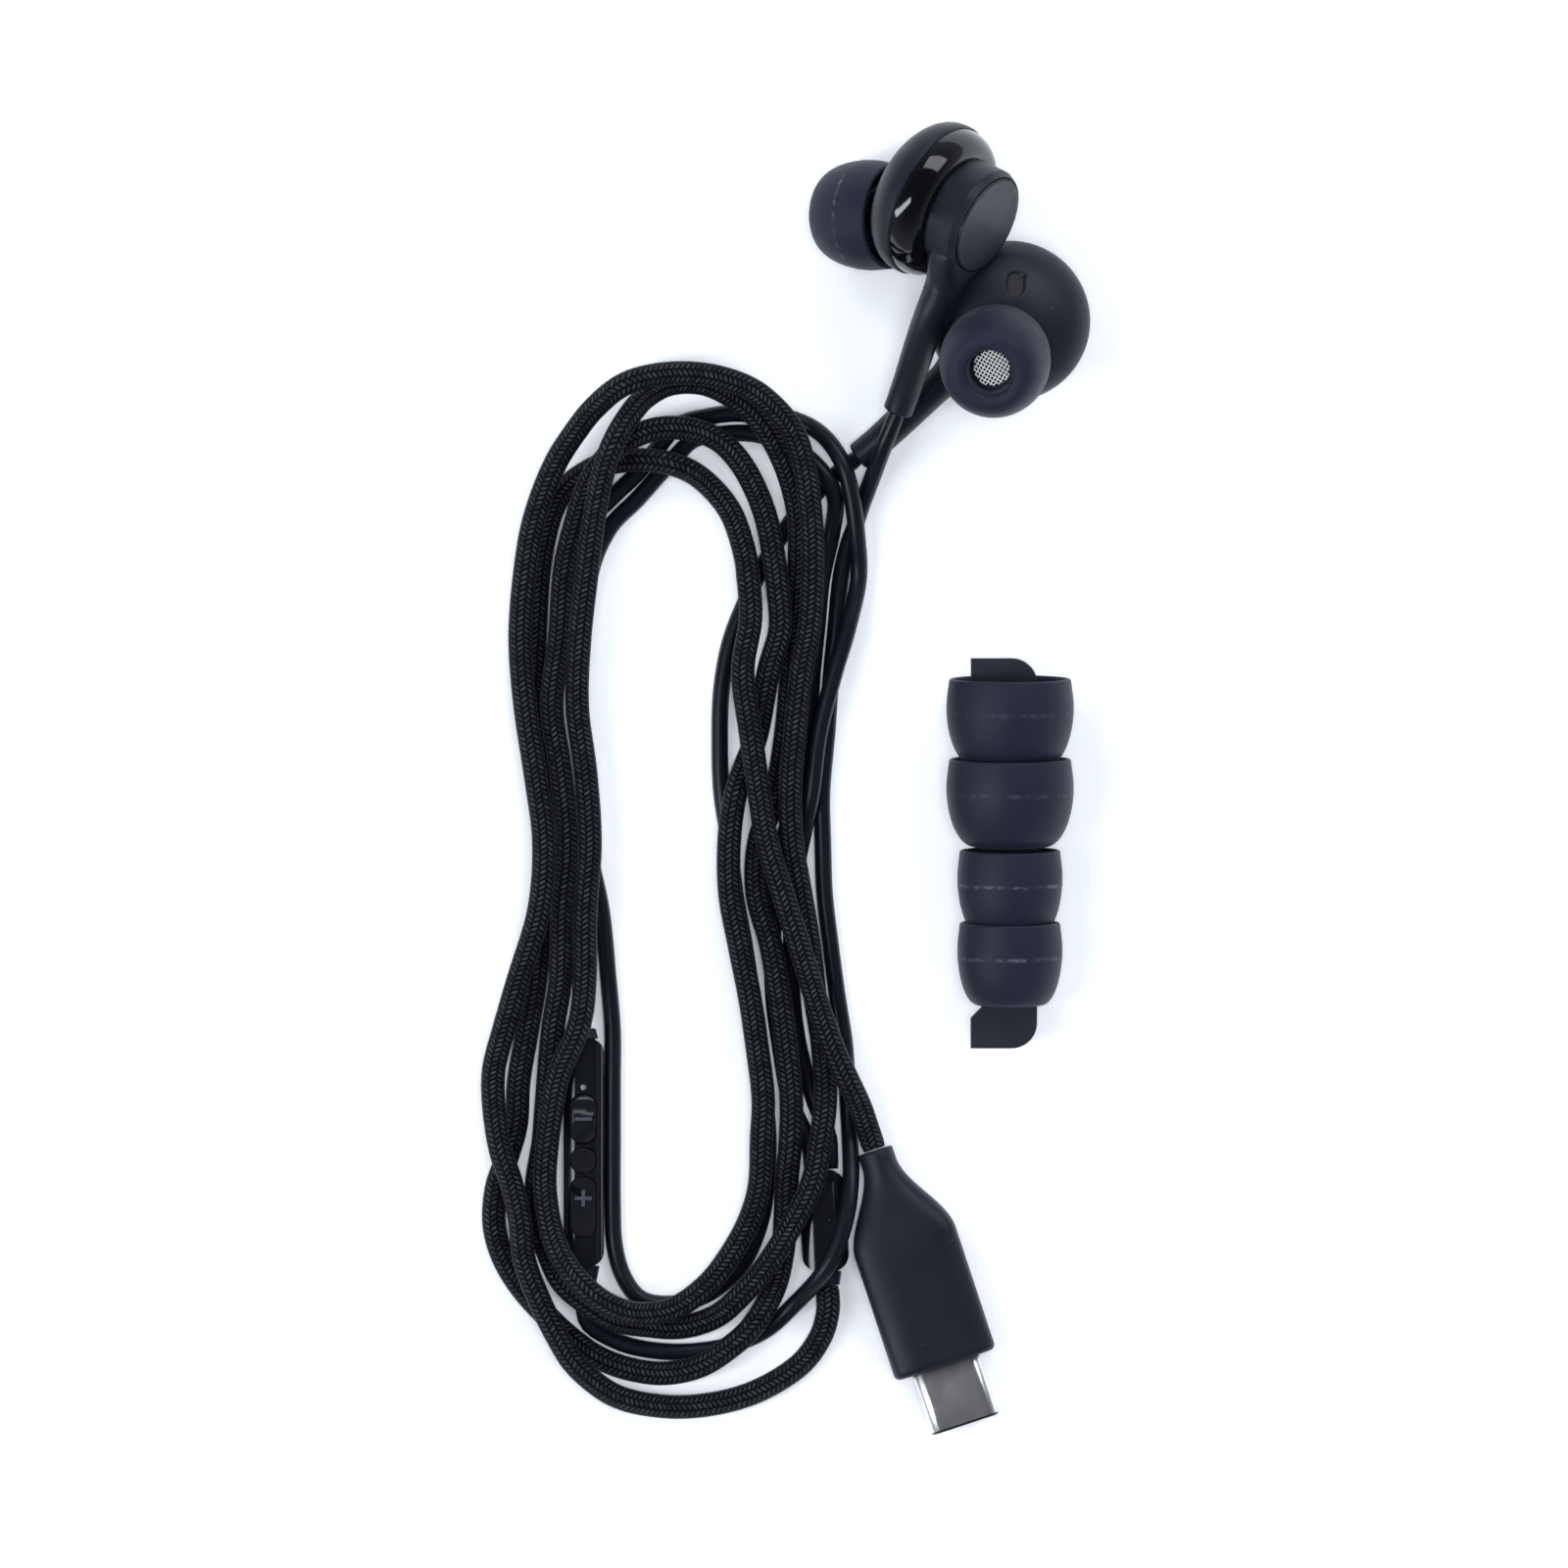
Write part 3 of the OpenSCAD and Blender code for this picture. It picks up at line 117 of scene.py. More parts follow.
# Splitter to plug: four turns, each down the right, along the bottom, up the left and over the top
MAIN_ROUTE = (
    (-0.0146, -0.0821, 0.0019), (-0.0145, -0.0849, 0.0018), (-0.0154, -0.0881, 0.0014),
    (-0.018, -0.0915, 0.0014), (-0.023, -0.0945, 0.0014), (-0.0285, -0.096, 0.0014),
    (-0.034, -0.0962, 0.0014), (-0.0395, -0.0949, 0.0026), (-0.0439, -0.0915, 0.0042),
    (-0.0463, -0.0878, 0.0048), (-0.0484, -0.0835, 0.005), (-0.0501, -0.079, 0.0048),
    (-0.0506, -0.0745, 0.0046), (-0.0516, -0.07, 0.0047), (-0.0529, -0.066, 0.0046),
    (-0.0537, -0.061, 0.0033), (-0.0537, -0.0565, 0.0027), (-0.0524, -0.0515, 0.0033),
    (-0.0508, -0.046, 0.0044), (-0.0484, -0.038, 0.0057), (-0.0478, -0.03, 0.0055),
    (-0.0488, -0.022, 0.0052), (-0.05, -0.014, 0.005), (-0.0506, -0.006, 0.0045), (-0.05, 0.002, 0.0044),
    (-0.0489, 0.0081, 0.0043), (-0.0466, 0.0142, 0.0046), (-0.0438, 0.0186, 0.0054),
    (-0.0415, 0.0213, 0.0066), (-0.0385, 0.0236, 0.0081), (-0.035, 0.0247, 0.008), (-0.0309, 0.025, 0.0076),
    (-0.0268, 0.0244, 0.007), (-0.0228, 0.0227, 0.0065), (-0.0193, 0.0193, 0.0064),
    (-0.0176, 0.0155, 0.0065), (-0.0167, 0.0102, 0.0067), (-0.0163, 0.0043, 0.0061),
    (-0.0166, -0.004, 0.0047), (-0.0176, -0.01, 0.0047), (-0.0184, -0.017, 0.0047),
    (-0.0189, -0.024, 0.0044), (-0.0187, -0.03, 0.0041), (-0.0177, -0.036, 0.0036),
    (-0.0167, -0.042, 0.0025), (-0.016, -0.048, 0.0015), (-0.0151, -0.054, 0.0018),
    (-0.0148, -0.06, 0.0035), (-0.0154, -0.065, 0.0047), (-0.0164, -0.07, 0.0055),
    (-0.0193, -0.0758, 0.0051), (-0.022, -0.08, 0.0044), (-0.0248, -0.0832, 0.0036),
    (-0.0276, -0.0856, 0.0019), (-0.0316, -0.0869, 0.0014), (-0.036, -0.0867, 0.0014),
    (-0.0395, -0.086, 0.003), (-0.0424, -0.0843, 0.0045), (-0.0456, -0.0816, 0.0044),
    (-0.0475, -0.0778, 0.0024), (-0.0487, -0.074, 0.0015), (-0.0487, -0.07, 0.0014),
    (-0.0479, -0.065, 0.0014), (-0.0475, -0.06, 0.0015), (-0.0468, -0.052, 0.0033),
    (-0.0459, -0.046, 0.0035), (-0.0457, -0.038, 0.0036), (-0.0451, -0.03, 0.0036),
    (-0.0458, -0.022, 0.0037), (-0.0469, -0.014, 0.0037), (-0.046, -0.006, 0.0037),
    (-0.0454, 0.002, 0.0038), (-0.044, 0.0079, 0.0041), (-0.0426, 0.012, 0.0046), (-0.0405, 0.0151, 0.0053),
    (-0.038, 0.0172, 0.0055), (-0.0346, 0.0185, 0.0052), (-0.0307, 0.0185, 0.0039),
    (-0.0273, 0.0172, 0.0035), (-0.0247, 0.0145, 0.0027), (-0.0228, 0.011, 0.0024),
    (-0.0216, 0.0075, 0.0032), (-0.0209, 0.0038, 0.004), (-0.0204, 0, 0.0042), (-0.0201, -0.0049, 0.0042),
    (-0.0215, -0.01, 0.0034), (-0.0228, -0.017, 0.0015), (-0.0242, -0.021, 0.0019),
    (-0.0254, -0.0245, 0.0032), (-0.0261, -0.03, 0.0036), (-0.026, -0.036, 0.0037),
    (-0.0249, -0.042, 0.0036), (-0.0237, -0.048, 0.0036), (-0.0228, -0.054, 0.0036),
    (-0.0221, -0.06, 0.0036), (-0.0223, -0.065, 0.0037), (-0.0225, -0.07, 0.0037),
    (-0.0236, -0.074, 0.0037), (-0.0257, -0.078, 0.0038), (-0.0286, -0.0818, 0.0038),
    (-0.0325, -0.0846, 0.004), (-0.0365, -0.0852, 0.0052), (-0.04, -0.0842, 0.0072),
    (-0.043, -0.082, 0.0079), (-0.0454, -0.079, 0.007), (-0.0469, -0.0755, 0.0058),
    (-0.0477, -0.0705, 0.0049), (-0.0475, -0.066, 0.0048), (-0.0469, -0.0615, 0.0048),
    (-0.046, -0.057, 0.0053), (-0.0437, -0.0515, 0.0057), (-0.043, -0.046, 0.0051),
    (-0.0429, -0.038, 0.0054), (-0.0424, -0.03, 0.0054), (-0.0429, -0.022, 0.0052),
    (-0.0439, -0.014, 0.005), (-0.0436, -0.006, 0.0061), (-0.0427, 0.002, 0.0064), (-0.0419, 0.008, 0.007),
    (-0.0409, 0.013, 0.0082), (-0.0396, 0.0168, 0.0091), (-0.0377, 0.0201, 0.0076),
    (-0.0358, 0.0223, 0.0053), (-0.033, 0.0238, 0.0038), (-0.0293, 0.0239, 0.0033),
    (-0.026, 0.0225, 0.0032), (-0.023, 0.0201, 0.0037), (-0.0206, 0.0166, 0.0038),
    (-0.0189, 0.0125, 0.0037), (-0.0179, 0.0078, 0.0035), (-0.0179, 0.002, 0.0022),
    (-0.0183, -0.004, 0.0014), (-0.0188, -0.01, 0.0015), (-0.0194, -0.017, 0.0014),
    (-0.0206, -0.024, 0.0014), (-0.0226, -0.03, 0.0015), (-0.0228, -0.036, 0.0027),
    (-0.0212, -0.042, 0.0037), (-0.0202, -0.048, 0.0036), (-0.0194, -0.054, 0.0036),
    (-0.0188, -0.06, 0.0037), (-0.0189, -0.065, 0.0038), (-0.01935, -0.07, 0.0022),
    (-0.0195, -0.074, 0.0016), (-0.0198, -0.078, 0.0015), (-0.0208, -0.0823, 0.0015),
    (-0.0232, -0.0865, 0.0035), (-0.026, -0.0892, 0.0036), (-0.0295, -0.0914, 0.0032),
    (-0.0335, -0.0923, 0.002), (-0.0375, -0.0919, 0.0014), (-0.0414, -0.0905, 0.0014),
    (-0.0447, -0.0882, 0.0014), (-0.0475, -0.0856, 0.0014), (-0.0504, -0.0824, 0.0014),
    (-0.0526, -0.0788, 0.0014), (-0.0537, -0.0748, 0.0014), (-0.0534, -0.0705, 0.0014),
    (-0.0522, -0.067, 0.0014), (-0.0511, -0.063, 0.0014), (-0.0508, -0.058, 0.0014),
    (-0.0498, -0.052, 0.0014), (-0.0488, -0.046, 0.0014), (-0.0481, -0.038, 0.0014),
    (-0.0477, -0.03, 0.0014), (-0.0482, -0.022, 0.0014), (-0.0492, -0.014, 0.0014),
    (-0.0489, -0.006, 0.0014), (-0.0484, 0.002, 0.0014), (-0.0472, 0.008, 0.0014),
    (-0.0454, 0.0115, 0.0014), (-0.0423, 0.0138, 0.0015), (-0.04, 0.0146, 0.0016),
    (-0.0365, 0.0149, 0.0036), (-0.0327, 0.0144, 0.0037), (-0.0293, 0.0127, 0.002),
    (-0.0261, 0.0091, 0.0014), (-0.0244, 0.0045, 0.0024), (-0.0238, 0.0005, 0.0036),
    (-0.0236, -0.004, 0.0042), (-0.0245, -0.01, 0.0049), (-0.0236, -0.017, 0.005),
    (-0.0226, -0.024, 0.0052), (-0.0216, -0.03, 0.0058), (-0.0198, -0.036, 0.0064),
    (-0.0179, -0.042, 0.0058), (-0.016, -0.048, 0.0048), (-0.0139, -0.054, 0.0053),
    (-0.0121, -0.058, 0.0048), (-0.0108, -0.0608, 0.0035), (-0.0099, -0.0634, 0.0031),
    (-0.00904, -0.066, 0.0031),
)
# Right bud to the remote's lower end
RIGHT_UPPER_ROUTE = (
    (-0.0064, 0.0204, 0.0066), (-0.0071, 0.0186, 0.006), (-0.0079, 0.0166, 0.0053),
    (-0.0088, 0.0142, 0.0038), (-0.0097, 0.0118, 0.0022), (-0.0106, 0.0094, 0.0011),
    (-0.0113, 0.0072, 0.001), (-0.0121, 0.005, 0.001), (-0.013, 0.001, 0.001), (-0.0136, -0.005, 0.001),
    (-0.0141, -0.01, 0.001), (-0.0146, -0.017, 0.001), (-0.0152, -0.024, 0.001), (-0.0151, -0.03, 0.001),
    (-0.0149, -0.036, 0.001), (-0.0142, -0.042, 0.001), (-0.0134, -0.048, 0.001), (-0.0125, -0.054, 0.001),
    (-0.0122, -0.06, 0.001), (-0.0119, -0.065, 0.0016), (-0.0118, -0.069, 0.0036),
    (-0.0122, -0.073, 0.0048), (-0.0133, -0.077, 0.0053), (-0.0152, -0.0806, 0.005),
    (-0.0185, -0.0843, 0.0016), (-0.0217, -0.0872, 0.001), (-0.0255, -0.0889, 0.001),
    (-0.0295, -0.0897, 0.001), (-0.0335, -0.0898, 0.001), (-0.0375, -0.0892, 0.001),
    (-0.0405, -0.088, 0.001), (-0.0426, -0.0865, 0.0016), (-0.0432, -0.0844, 0.002),
    (-0.0432, -0.0823, 0.002),
)
# Remote's upper end to the splitter
RIGHT_LOWER_ROUTE = (
    (-0.0432, -0.0517, 0.002), (-0.0432, -0.0497, 0.002), (-0.0435, -0.0476, 0.0018),
    (-0.0439, -0.044, 0.001), (-0.0452, -0.038, 0.001), (-0.0451, -0.03, 0.001), (-0.0455, -0.022, 0.001),
    (-0.0466, -0.014, 0.001), (-0.0458, -0.006, 0.001), (-0.045, 0.002, 0.001), (-0.0432, 0.007, 0.001),
    (-0.0399, 0.0105, 0.001), (-0.0367, 0.0136, 0.001), (-0.0343, 0.0166, 0.001), (-0.032, 0.0191, 0.001),
    (-0.0282, 0.0201, 0.001), (-0.0251, 0.0204, 0.001), (-0.022, 0.0201, 0.001), (-0.0192, 0.0199, 0.001),
    (-0.0163, 0.0187, 0.0016), (-0.0142, 0.0168, 0.0032), (-0.0126, 0.014, 0.0042),
    (-0.0117, 0.0105, 0.004), (-0.0111, 0.006, 0.0033), (-0.0109, 0.001, 0.002), (-0.0122, -0.005, 0.0028),
    (-0.0137, -0.01, 0.0031), (-0.0155, -0.017, 0.0031), (-0.0164, -0.024, 0.0031),
    (-0.0172, -0.028, 0.002), (-0.018, -0.032, 0.001), (-0.0185, -0.036, 0.001), (-0.0188, -0.042, 0.001),
    (-0.0187, -0.048, 0.001), (-0.0179, -0.054, 0.001), (-0.0162, -0.06, 0.001), (-0.0145, -0.0643, 0.0017),
    (-0.0143, -0.0663, 0.0019), (-0.0142, -0.0683, 0.0019),
)
# Left bud to the splitter
LEFT_ROUTE = (
    (-0.011, 0.0152, 0.0019), (-0.0126, 0.014, 0.0016), (-0.0142, 0.0127, 0.0013), (-0.016, 0.0109, 0.001),
    (-0.0182, 0.0085, 0.001), (-0.0204, 0.0054, 0.001), (-0.0224, 0.002, 0.001), (-0.0243, -0.002, 0.001),
    (-0.026, -0.0065, 0.001), (-0.027, -0.012, 0.001), (-0.0272, -0.018, 0.001), (-0.027, -0.024, 0.001),
    (-0.0261, -0.03, 0.001), (-0.0254, -0.036, 0.001), (-0.0243, -0.042, 0.001), (-0.0234, -0.048, 0.001),
    (-0.0227, -0.054, 0.001), (-0.0219, -0.06, 0.001), (-0.0215, -0.065, 0.001), (-0.0217, -0.07, 0.001),
    (-0.0224, -0.0745, 0.001), (-0.0242, -0.079, 0.001), (-0.0268, -0.0818, 0.001),
    (-0.0299, -0.0836, 0.001), (-0.0335, -0.0842, 0.001), (-0.0366, -0.0835, 0.001),
    (-0.0386, -0.0808, 0.001), (-0.0396, -0.077, 0.001), (-0.0398, -0.072, 0.001), (-0.0398, -0.065, 0.001),
    (-0.0398, -0.058, 0.001), (-0.0398, -0.052, 0.001), (-0.0403, -0.046, 0.001), (-0.0411, -0.038, 0.001),
    (-0.0427, -0.03, 0.001), (-0.0431, -0.022, 0.001), (-0.0437, -0.014, 0.001), (-0.0434, -0.006, 0.001),
    (-0.0423, 0.002, 0.001), (-0.0401, 0.007, 0.001), (-0.037, 0.0102, 0.001), (-0.0345, 0.013, 0.001),
    (-0.0323, 0.0154, 0.001), (-0.0303, 0.0173, 0.001), (-0.0275, 0.0179, 0.001), (-0.0245, 0.0181, 0.001),
    (-0.0218, 0.0177, 0.001), (-0.019, 0.0166, 0.0014), (-0.0166, 0.015, 0.003), (-0.0146, 0.0127, 0.004),
    (-0.0136, 0.01, 0.0028), (-0.0141, 0.006, 0.001), (-0.0152, 0.001, 0.001), (-0.0158, -0.005, 0.001),
    (-0.0163, -0.01, 0.001), (-0.0169, -0.017, 0.001), (-0.018, -0.024, 0.001), (-0.0201, -0.031, 0.001),
    (-0.0207, -0.036, 0.001), (-0.021, -0.042, 0.001), (-0.0209, -0.048, 0.001), (-0.0201, -0.054, 0.001),
    (-0.019, -0.06, 0.001), (-0.0171, -0.0644, 0.0016), (-0.0165, -0.0664, 0.0019),
    (-0.0164, -0.0684, 0.0019),
)


# ---- Numbers and frames ----
def unit(v):
    """A vector over its own length."""
    v = np.asarray(v, float)
    return v / np.linalg.norm(v)


def bud_frame(side):
    """4x4 of a bud: z is its front, y as near as can be to its up, x square to both."""
    origin, front, up, _ = BUDS[side]
    z = unit(front)
    x = unit(np.cross(up, z))
    m = np.eye(4)
    m[:3, 0], m[:3, 1], m[:3, 2], m[:3, 3] = x, np.cross(z, x), z, origin
    return m


def turn(axis, degrees):
    """4x4 of a turn about the x, y or z axis by the right-hand rule."""
    c, s = math.cos(math.radians(degrees)), math.sin(math.radians(degrees))
    i, j = {"x": (1, 2), "y": (2, 0), "z": (0, 1)}[axis]
    m = np.eye(4)
    m[i, i], m[i, j], m[j, i], m[j, j] = c, -s, s, c
    return m


def shift(x, y, z):
    """4x4 of a move."""
    m = np.eye(4)
    m[:3, 3] = x, y, z
    return m


def nozzle_frame(side):
    """4x4 of a bud's sound tube: its foot on the dome, leaned by x and then turned by y."""
    way = BUDS[side][3]
    foot = shift(way * NOZZLE_FOOT[0], NOZZLE_FOOT[1], NOZZLE_FOOT[2])
    return bud_frame(side) @ foot @ turn("y", way * NOZZLE_TURN) @ turn("x", NOZZLE_LEAN)


def moved(points, m):
    """Points of any array shape, carried by a 4x4."""
    return points @ m[:3, :3].T + m[:3, 3]


def smooth_step(t):
    """0 before 0, 1 after 1, and 3t^2 - 2t^3 between."""
    t = np.clip(t, 0, 1)
    return t * t * (3 - 2 * t)


def through(points, steps):
    """The cubic through every point whose slope at each is half the step between its neighbours."""
    p = np.asarray(points, float)
    q = np.vstack([2 * p[0] - p[1], p, 2 * p[-1] - p[-2]])
    t = np.arange(steps)[:, None, None] / steps
    a, b, c, d = q[:-3], q[1:-2], q[2:-1], q[3:]
    curve = 0.5 * (2 * b + (c - a) * t + (2 * a - 5 * b + 4 * c - d) * t**2 + (3 * b - a - 3 * c + d) * t**3)
    return np.vstack([curve.transpose(1, 0, 2).reshape(-1, 3), p[-1]])


def evenly(path, spacing):
    """The same line with points a set distance apart along it, and how far along each is."""
    run = np.r_[0, np.cumsum(np.linalg.norm(np.diff(path, axis=0), axis=1))]
    along = np.linspace(0, run[-1], max(2, int(round(run[-1] / spacing)) + 1))
    return np.column_stack([np.interp(along, run, path[:, k]) for k in range(3)]), along


def cross_frames(path):
    """At each point of a path, two unit vectors square to it: one level, and one as upright as can be."""
    along = np.gradient(path, axis=0)
    along /= np.linalg.norm(along, axis=1, keepdims=True)
    level = np.cross(along, (0, 0, 1))
    level /= np.linalg.norm(level, axis=1, keepdims=True)
    return level, np.cross(level, along)


# ---- Meshes ----
def make_piece(name, sheets, body, material, stands_for=(), sharp=40, weld=1e-7):
    """One piece from grids of points. Each sheet is (points[n, m, 3], wraps, uv[n, m + wraps, 2] or None):
    a face joins each point to its neighbours, and wraps joins the last column to the first."""
    points, faces, uvs, base = [], [], [], 0
    for grid, wraps, uv in sheets:
        n, m = grid.shape[:2]
        i, j = np.meshgrid(np.arange(n - 1), np.arange(m - (not wraps)), indexing="ij")
        k = (j + 1) % m
        corners = np.stack([i * m + j, i * m + k, (i + 1) * m + k, (i + 1) * m + j], -1)
        faces.append(corners.reshape(-1, 4) + base)
        if uv is not None:
            uvs.append(np.stack([uv[i, j], uv[i, j + 1], uv[i + 1, j + 1], uv[i + 1, j]], 2).reshape(-1, 2))
        points.append(grid.reshape(-1, 3))
        base += n * m
    mesh = bpy.data.meshes.new(name)
    mesh.from_pydata(np.vstack(points), [], np.vstack(faces))
    if uvs:
        layer = mesh.uv_layers.new(name="run")
        layer.data.foreach_set("uv", np.vstack(uvs).astype(np.float32).ravel())
    work = bmesh.new()
    work.from_mesh(mesh)
    bmesh.ops.remove_doubles(work, verts=work.verts, dist=weld)
    bmesh.ops.dissolve_degenerate(work, edges=work.edges, dist=weld)
    if work.calc_volume(signed=True) < 0:
        bmesh.ops.reverse_faces(work, faces=work.faces)
    work.to_mesh(mesh)
    work.free()
    return finished(name, mesh, body, material, stands_for, sharp)


def finished(name, mesh, body, material, stands_for, sharp):
    """Shades a mesh smooth apart from its sharp edges, and puts it on its body."""
    mesh.polygons.foreach_set("use_smooth", np.ones(len(mesh.polygons), bool))
    mesh.set_sharp_from_angle(angle=math.radians(sharp))
    mesh.materials.clear()
    mesh.materials.append(material)
    piece = bpy.data.objects.new(name, mesh)
    bpy.context.scene.collection.objects.link(piece)
    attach(piece, body)
    if stands_for:
        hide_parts(*stands_for)
    return piece


def merged_copy(node, material, rounding=0.0, sharp=32, dissolve=1.0):
    """A copy of a frame node with its loose triangles merged, flat faces joined, and its edges rounded when a
    rounding is given.
    """
    mesh = frame["nodes"][node].data.copy()
    work = bmesh.new()
    work.from_mesh(mesh)
    bmesh.ops.remove_doubles(work, verts=work.verts, dist=FRAME_WELD)
    bmesh.ops.dissolve_limit(
        work, angle_limit=math.radians(dissolve), verts=work.verts, edges=work.edges
    )
    work.to_mesh(mesh)
    work.free()
    body = frame["nodes"][node]["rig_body"]
    piece = finished(node + "_moulding", mesh, body, material, (node,), sharp)
    if rounding:
        bevel = piece.modifiers.new("rounded edges", "BEVEL")
        bevel.width, bevel.segments = rounding, 2
        bevel.limit_method, bevel.angle_limit = "ANGLE", math.radians(38)
        bevel.harden_normals = True
    return piece


def face_centres(piece):
    """The middle of each face, as rows of x, y and z."""
    centres = np.empty(len(piece.data.polygons) * 3)
    piece.data.polygons.foreach_get("center", centres)
    return centres.reshape(-1, 3)


def add_second_material(piece, material, chosen):
    """Gives the chosen faces of a piece a material of their own."""
    piece.data.materials.append(material)
    piece.data.polygons.foreach_set("material_index", chosen.astype(np.int32))


def swept(path, radii, sides, lobes=0, depth=0.0, power=1.0, closed=True):
    """A tube: at each point of the path, a ring of that radius in the plane square to it. lobes is how
    many lengthwise rolls the ring has, and depth how far they stand proud, over the radius."""
    level, upright = cross_frames(path)
    angle = np.arange(sides) * 2 * math.pi / sides
    wave = 1 - depth + depth * np.abs(np.cos(lobes * angle / 2)) ** power if lobes else 1 + 0 * angle
    reach = np.asarray(radii)[:, None, None] * wave[None, :, None]
    rings = path[:, None] + reach * (
        np.cos(angle)[None, :, None] * level[:, None] + np.sin(angle)[None, :, None] * upright[:, None]
    )
    if closed:
        first, last = (np.repeat(p[None, None], sides, 1) for p in (path[0], path[-1]))
        rings = np.concatenate([first, rings, last])
    return rings


def turned(profile, sides, m):
    """A closed outline of (radius, height) spun about z, then carried by a 4x4."""
    angle = np.arange(sides) * 2 * math.pi / sides
    r, z = profile[:, 0, None], profile[:, 1, None]
    grid = np.stack([r * np.cos(angle), r * np.sin(angle), z + 0 * angle], -1)
    return moved(np.concatenate([grid, grid[:1]]), m)


def squared_ring(width, height, power, sides):
    """Points of a round-cornered oblong: (w/2 cos^p, h/2 sin^p), signs kept."""
    a = (np.arange(sides) + 0.5) * 2 * math.pi / sides
    c, s = np.cos(a), np.sin(a)
    return np.stack(
        [width / 2 * np.sign(c) * np.abs(c) ** power, height / 2 * np.sign(s) * np.abs(s) ** power], -1
    )


def stadium_ring(width, height, sides):
    """Points of a bar's section with two flat faces and two half-round ends, evenly spread."""
    r, straight = height / 2, width - height
    total = 2 * straight + 2 * math.pi * r
    s = (np.arange(sides) + 0.5) / sides * total
    arc = math.pi * r
    a1 = np.clip(s - straight, 0, arc) / r
    a2 = np.clip(s - 2 * straight - arc, 0, arc) / r
    x = straight / 2 - np.clip(s, 0, straight) + np.clip(s - straight - arc, 0, straight)
    on1, on2 = (s > straight) & (s < straight + arc), s > 2 * straight + arc
    x = np.where(on1, -straight / 2 - r * np.sin(a1), np.where(on2, straight / 2 + r * np.sin(a2), x))
    z = np.where(s <= straight, r, -r)
    z = np.where(on1, r * np.cos(a1), np.where(on2, -r * np.cos(a2), z))
    return np.stack([x, z], -1)


def strung(sections, m):
    """Rings of (x, z) at places y, joined end to end and closed at both ends, carried by a 4x4."""
    rings = np.stack([np.stack([ring[:, 0], 0 * ring[:, 0] + y, ring[:, 1]], -1) for y, ring in sections])
    caps = [np.repeat(rings[k].mean(0)[None, None], rings.shape[1], 1) for k in (0, -1)]
    return moved(np.concatenate([caps[0], rings, caps[1]]), m)


# ---- Shader building ----
def group_tree(name, inputs, outputs):
    """A node group with named sockets, empty but for its input and output nodes."""
    tree = bpy.data.node_groups.new(name, "ShaderNodeTree")
    for label, kind, value in inputs:
        socket = tree.interface.new_socket(label, in_out="INPUT", socket_type="NodeSocket" + kind)
        if value is not None:
            socket.default_value = value
    for label, kind in outputs:
        tree.interface.new_socket(label, in_out="OUTPUT", socket_type="NodeSocket" + kind)
    return tree, tree.nodes.new("NodeGroupInput").outputs, tree.nodes.new("NodeGroupOutput").inputs


def fill(tree, socket, value):
    """Links a socket to another, or sets it to a plain value."""
    if isinstance(value, bpy.types.NodeSocket):
        tree.links.new(value, socket)
    else:
        socket.default_value = value


def maths(tree, operation, *values, clamp=False):
    """The result of one math node on up to three values."""
    node = tree.nodes.new("ShaderNodeMath")
    node.operation, node.use_clamp = operation, clamp
    for socket, value in zip(node.inputs, values):
        fill(tree, socket, value)
    return node.outputs[0]


def mixed(tree, share, a, b):
    """A colour part of the way from a to b."""
    node = tree.nodes.new("ShaderNodeMix")
    node.data_type = "RGBA"
    for label, value in (("Factor_Float", share), ("A_Color", a), ("B_Color", b)):
        fill(tree, next(s for s in node.inputs if s.identifier == label), value)
    return next(s for s in node.outputs if s.identifier == "Result_Color")


def ranged(tree, value, low, high, to_low, to_high):
    """A value carried from one range to another and held inside it."""
    node = tree.nodes.new("ShaderNodeMapRange")
    for socket, v in zip(node.inputs, (value, low, high, to_low, to_high)):
        fill(tree, socket, v)
    return node.outputs[0]


def noise(tree, position, scale, detail=3.0):
    """Cloudy noise from 0 to 1 at a scale in waves a metre."""
    node = tree.nodes.new("ShaderNodeTexNoise")
    fill(tree, node.inputs["Vector"], position)
    fill(tree, node.inputs["Scale"], scale)
    node.inputs["Detail"].default_value = detail
    return node.outputs["Fac"]


def crowned(tree, value, power):
    """1 - |2v|^power: 1 in the middle, and 0 half a unit to each side."""
    twice = maths(tree, "ABSOLUTE", maths(tree, "MULTIPLY", value, 2.0))
    return maths(tree, "SUBTRACT", 1.0, maths(tree, "POWER", twice, power))


def waves(tree, value, rate):
    """|sin(rate v)|: round ridges side by side."""
    return maths(tree, "ABSOLUTE", maths(tree, "SINE", maths(tree, "MULTIPLY", value, rate)))


def grain_group():
    """Fine moulded texture: a height, and a share for colour and roughness, from two noises."""
    tree, given, out = group_tree(
        "moulded grain",
        [("Position", "Vector", None), ("Grain size", "Float", 0.00012), ("Cloud size", "Float", 0.004)],
        [("Height", "Float"), ("Tone", "Float"), ("Smudge", "Float")],
    )
    fine = noise(tree, given["Position"], maths(tree, "DIVIDE", 1.0, given["Grain size"]))
    cloud = noise(tree, given["Position"], maths(tree, "DIVIDE", 1.0, given["Cloud size"]), 5.0)
    tree.links.new(fine, out["Height"])
    tone = maths(tree, "ADD", maths(tree, "MULTIPLY", fine, 0.3), maths(tree, "MULTIPLY", cloud, 0.7))
    tree.links.new(tone, out["Tone"])
    tree.links.new(ranged(tree, cloud, 0.35, 0.7, 0.0, 1.0), out["Smudge"])
    return tree


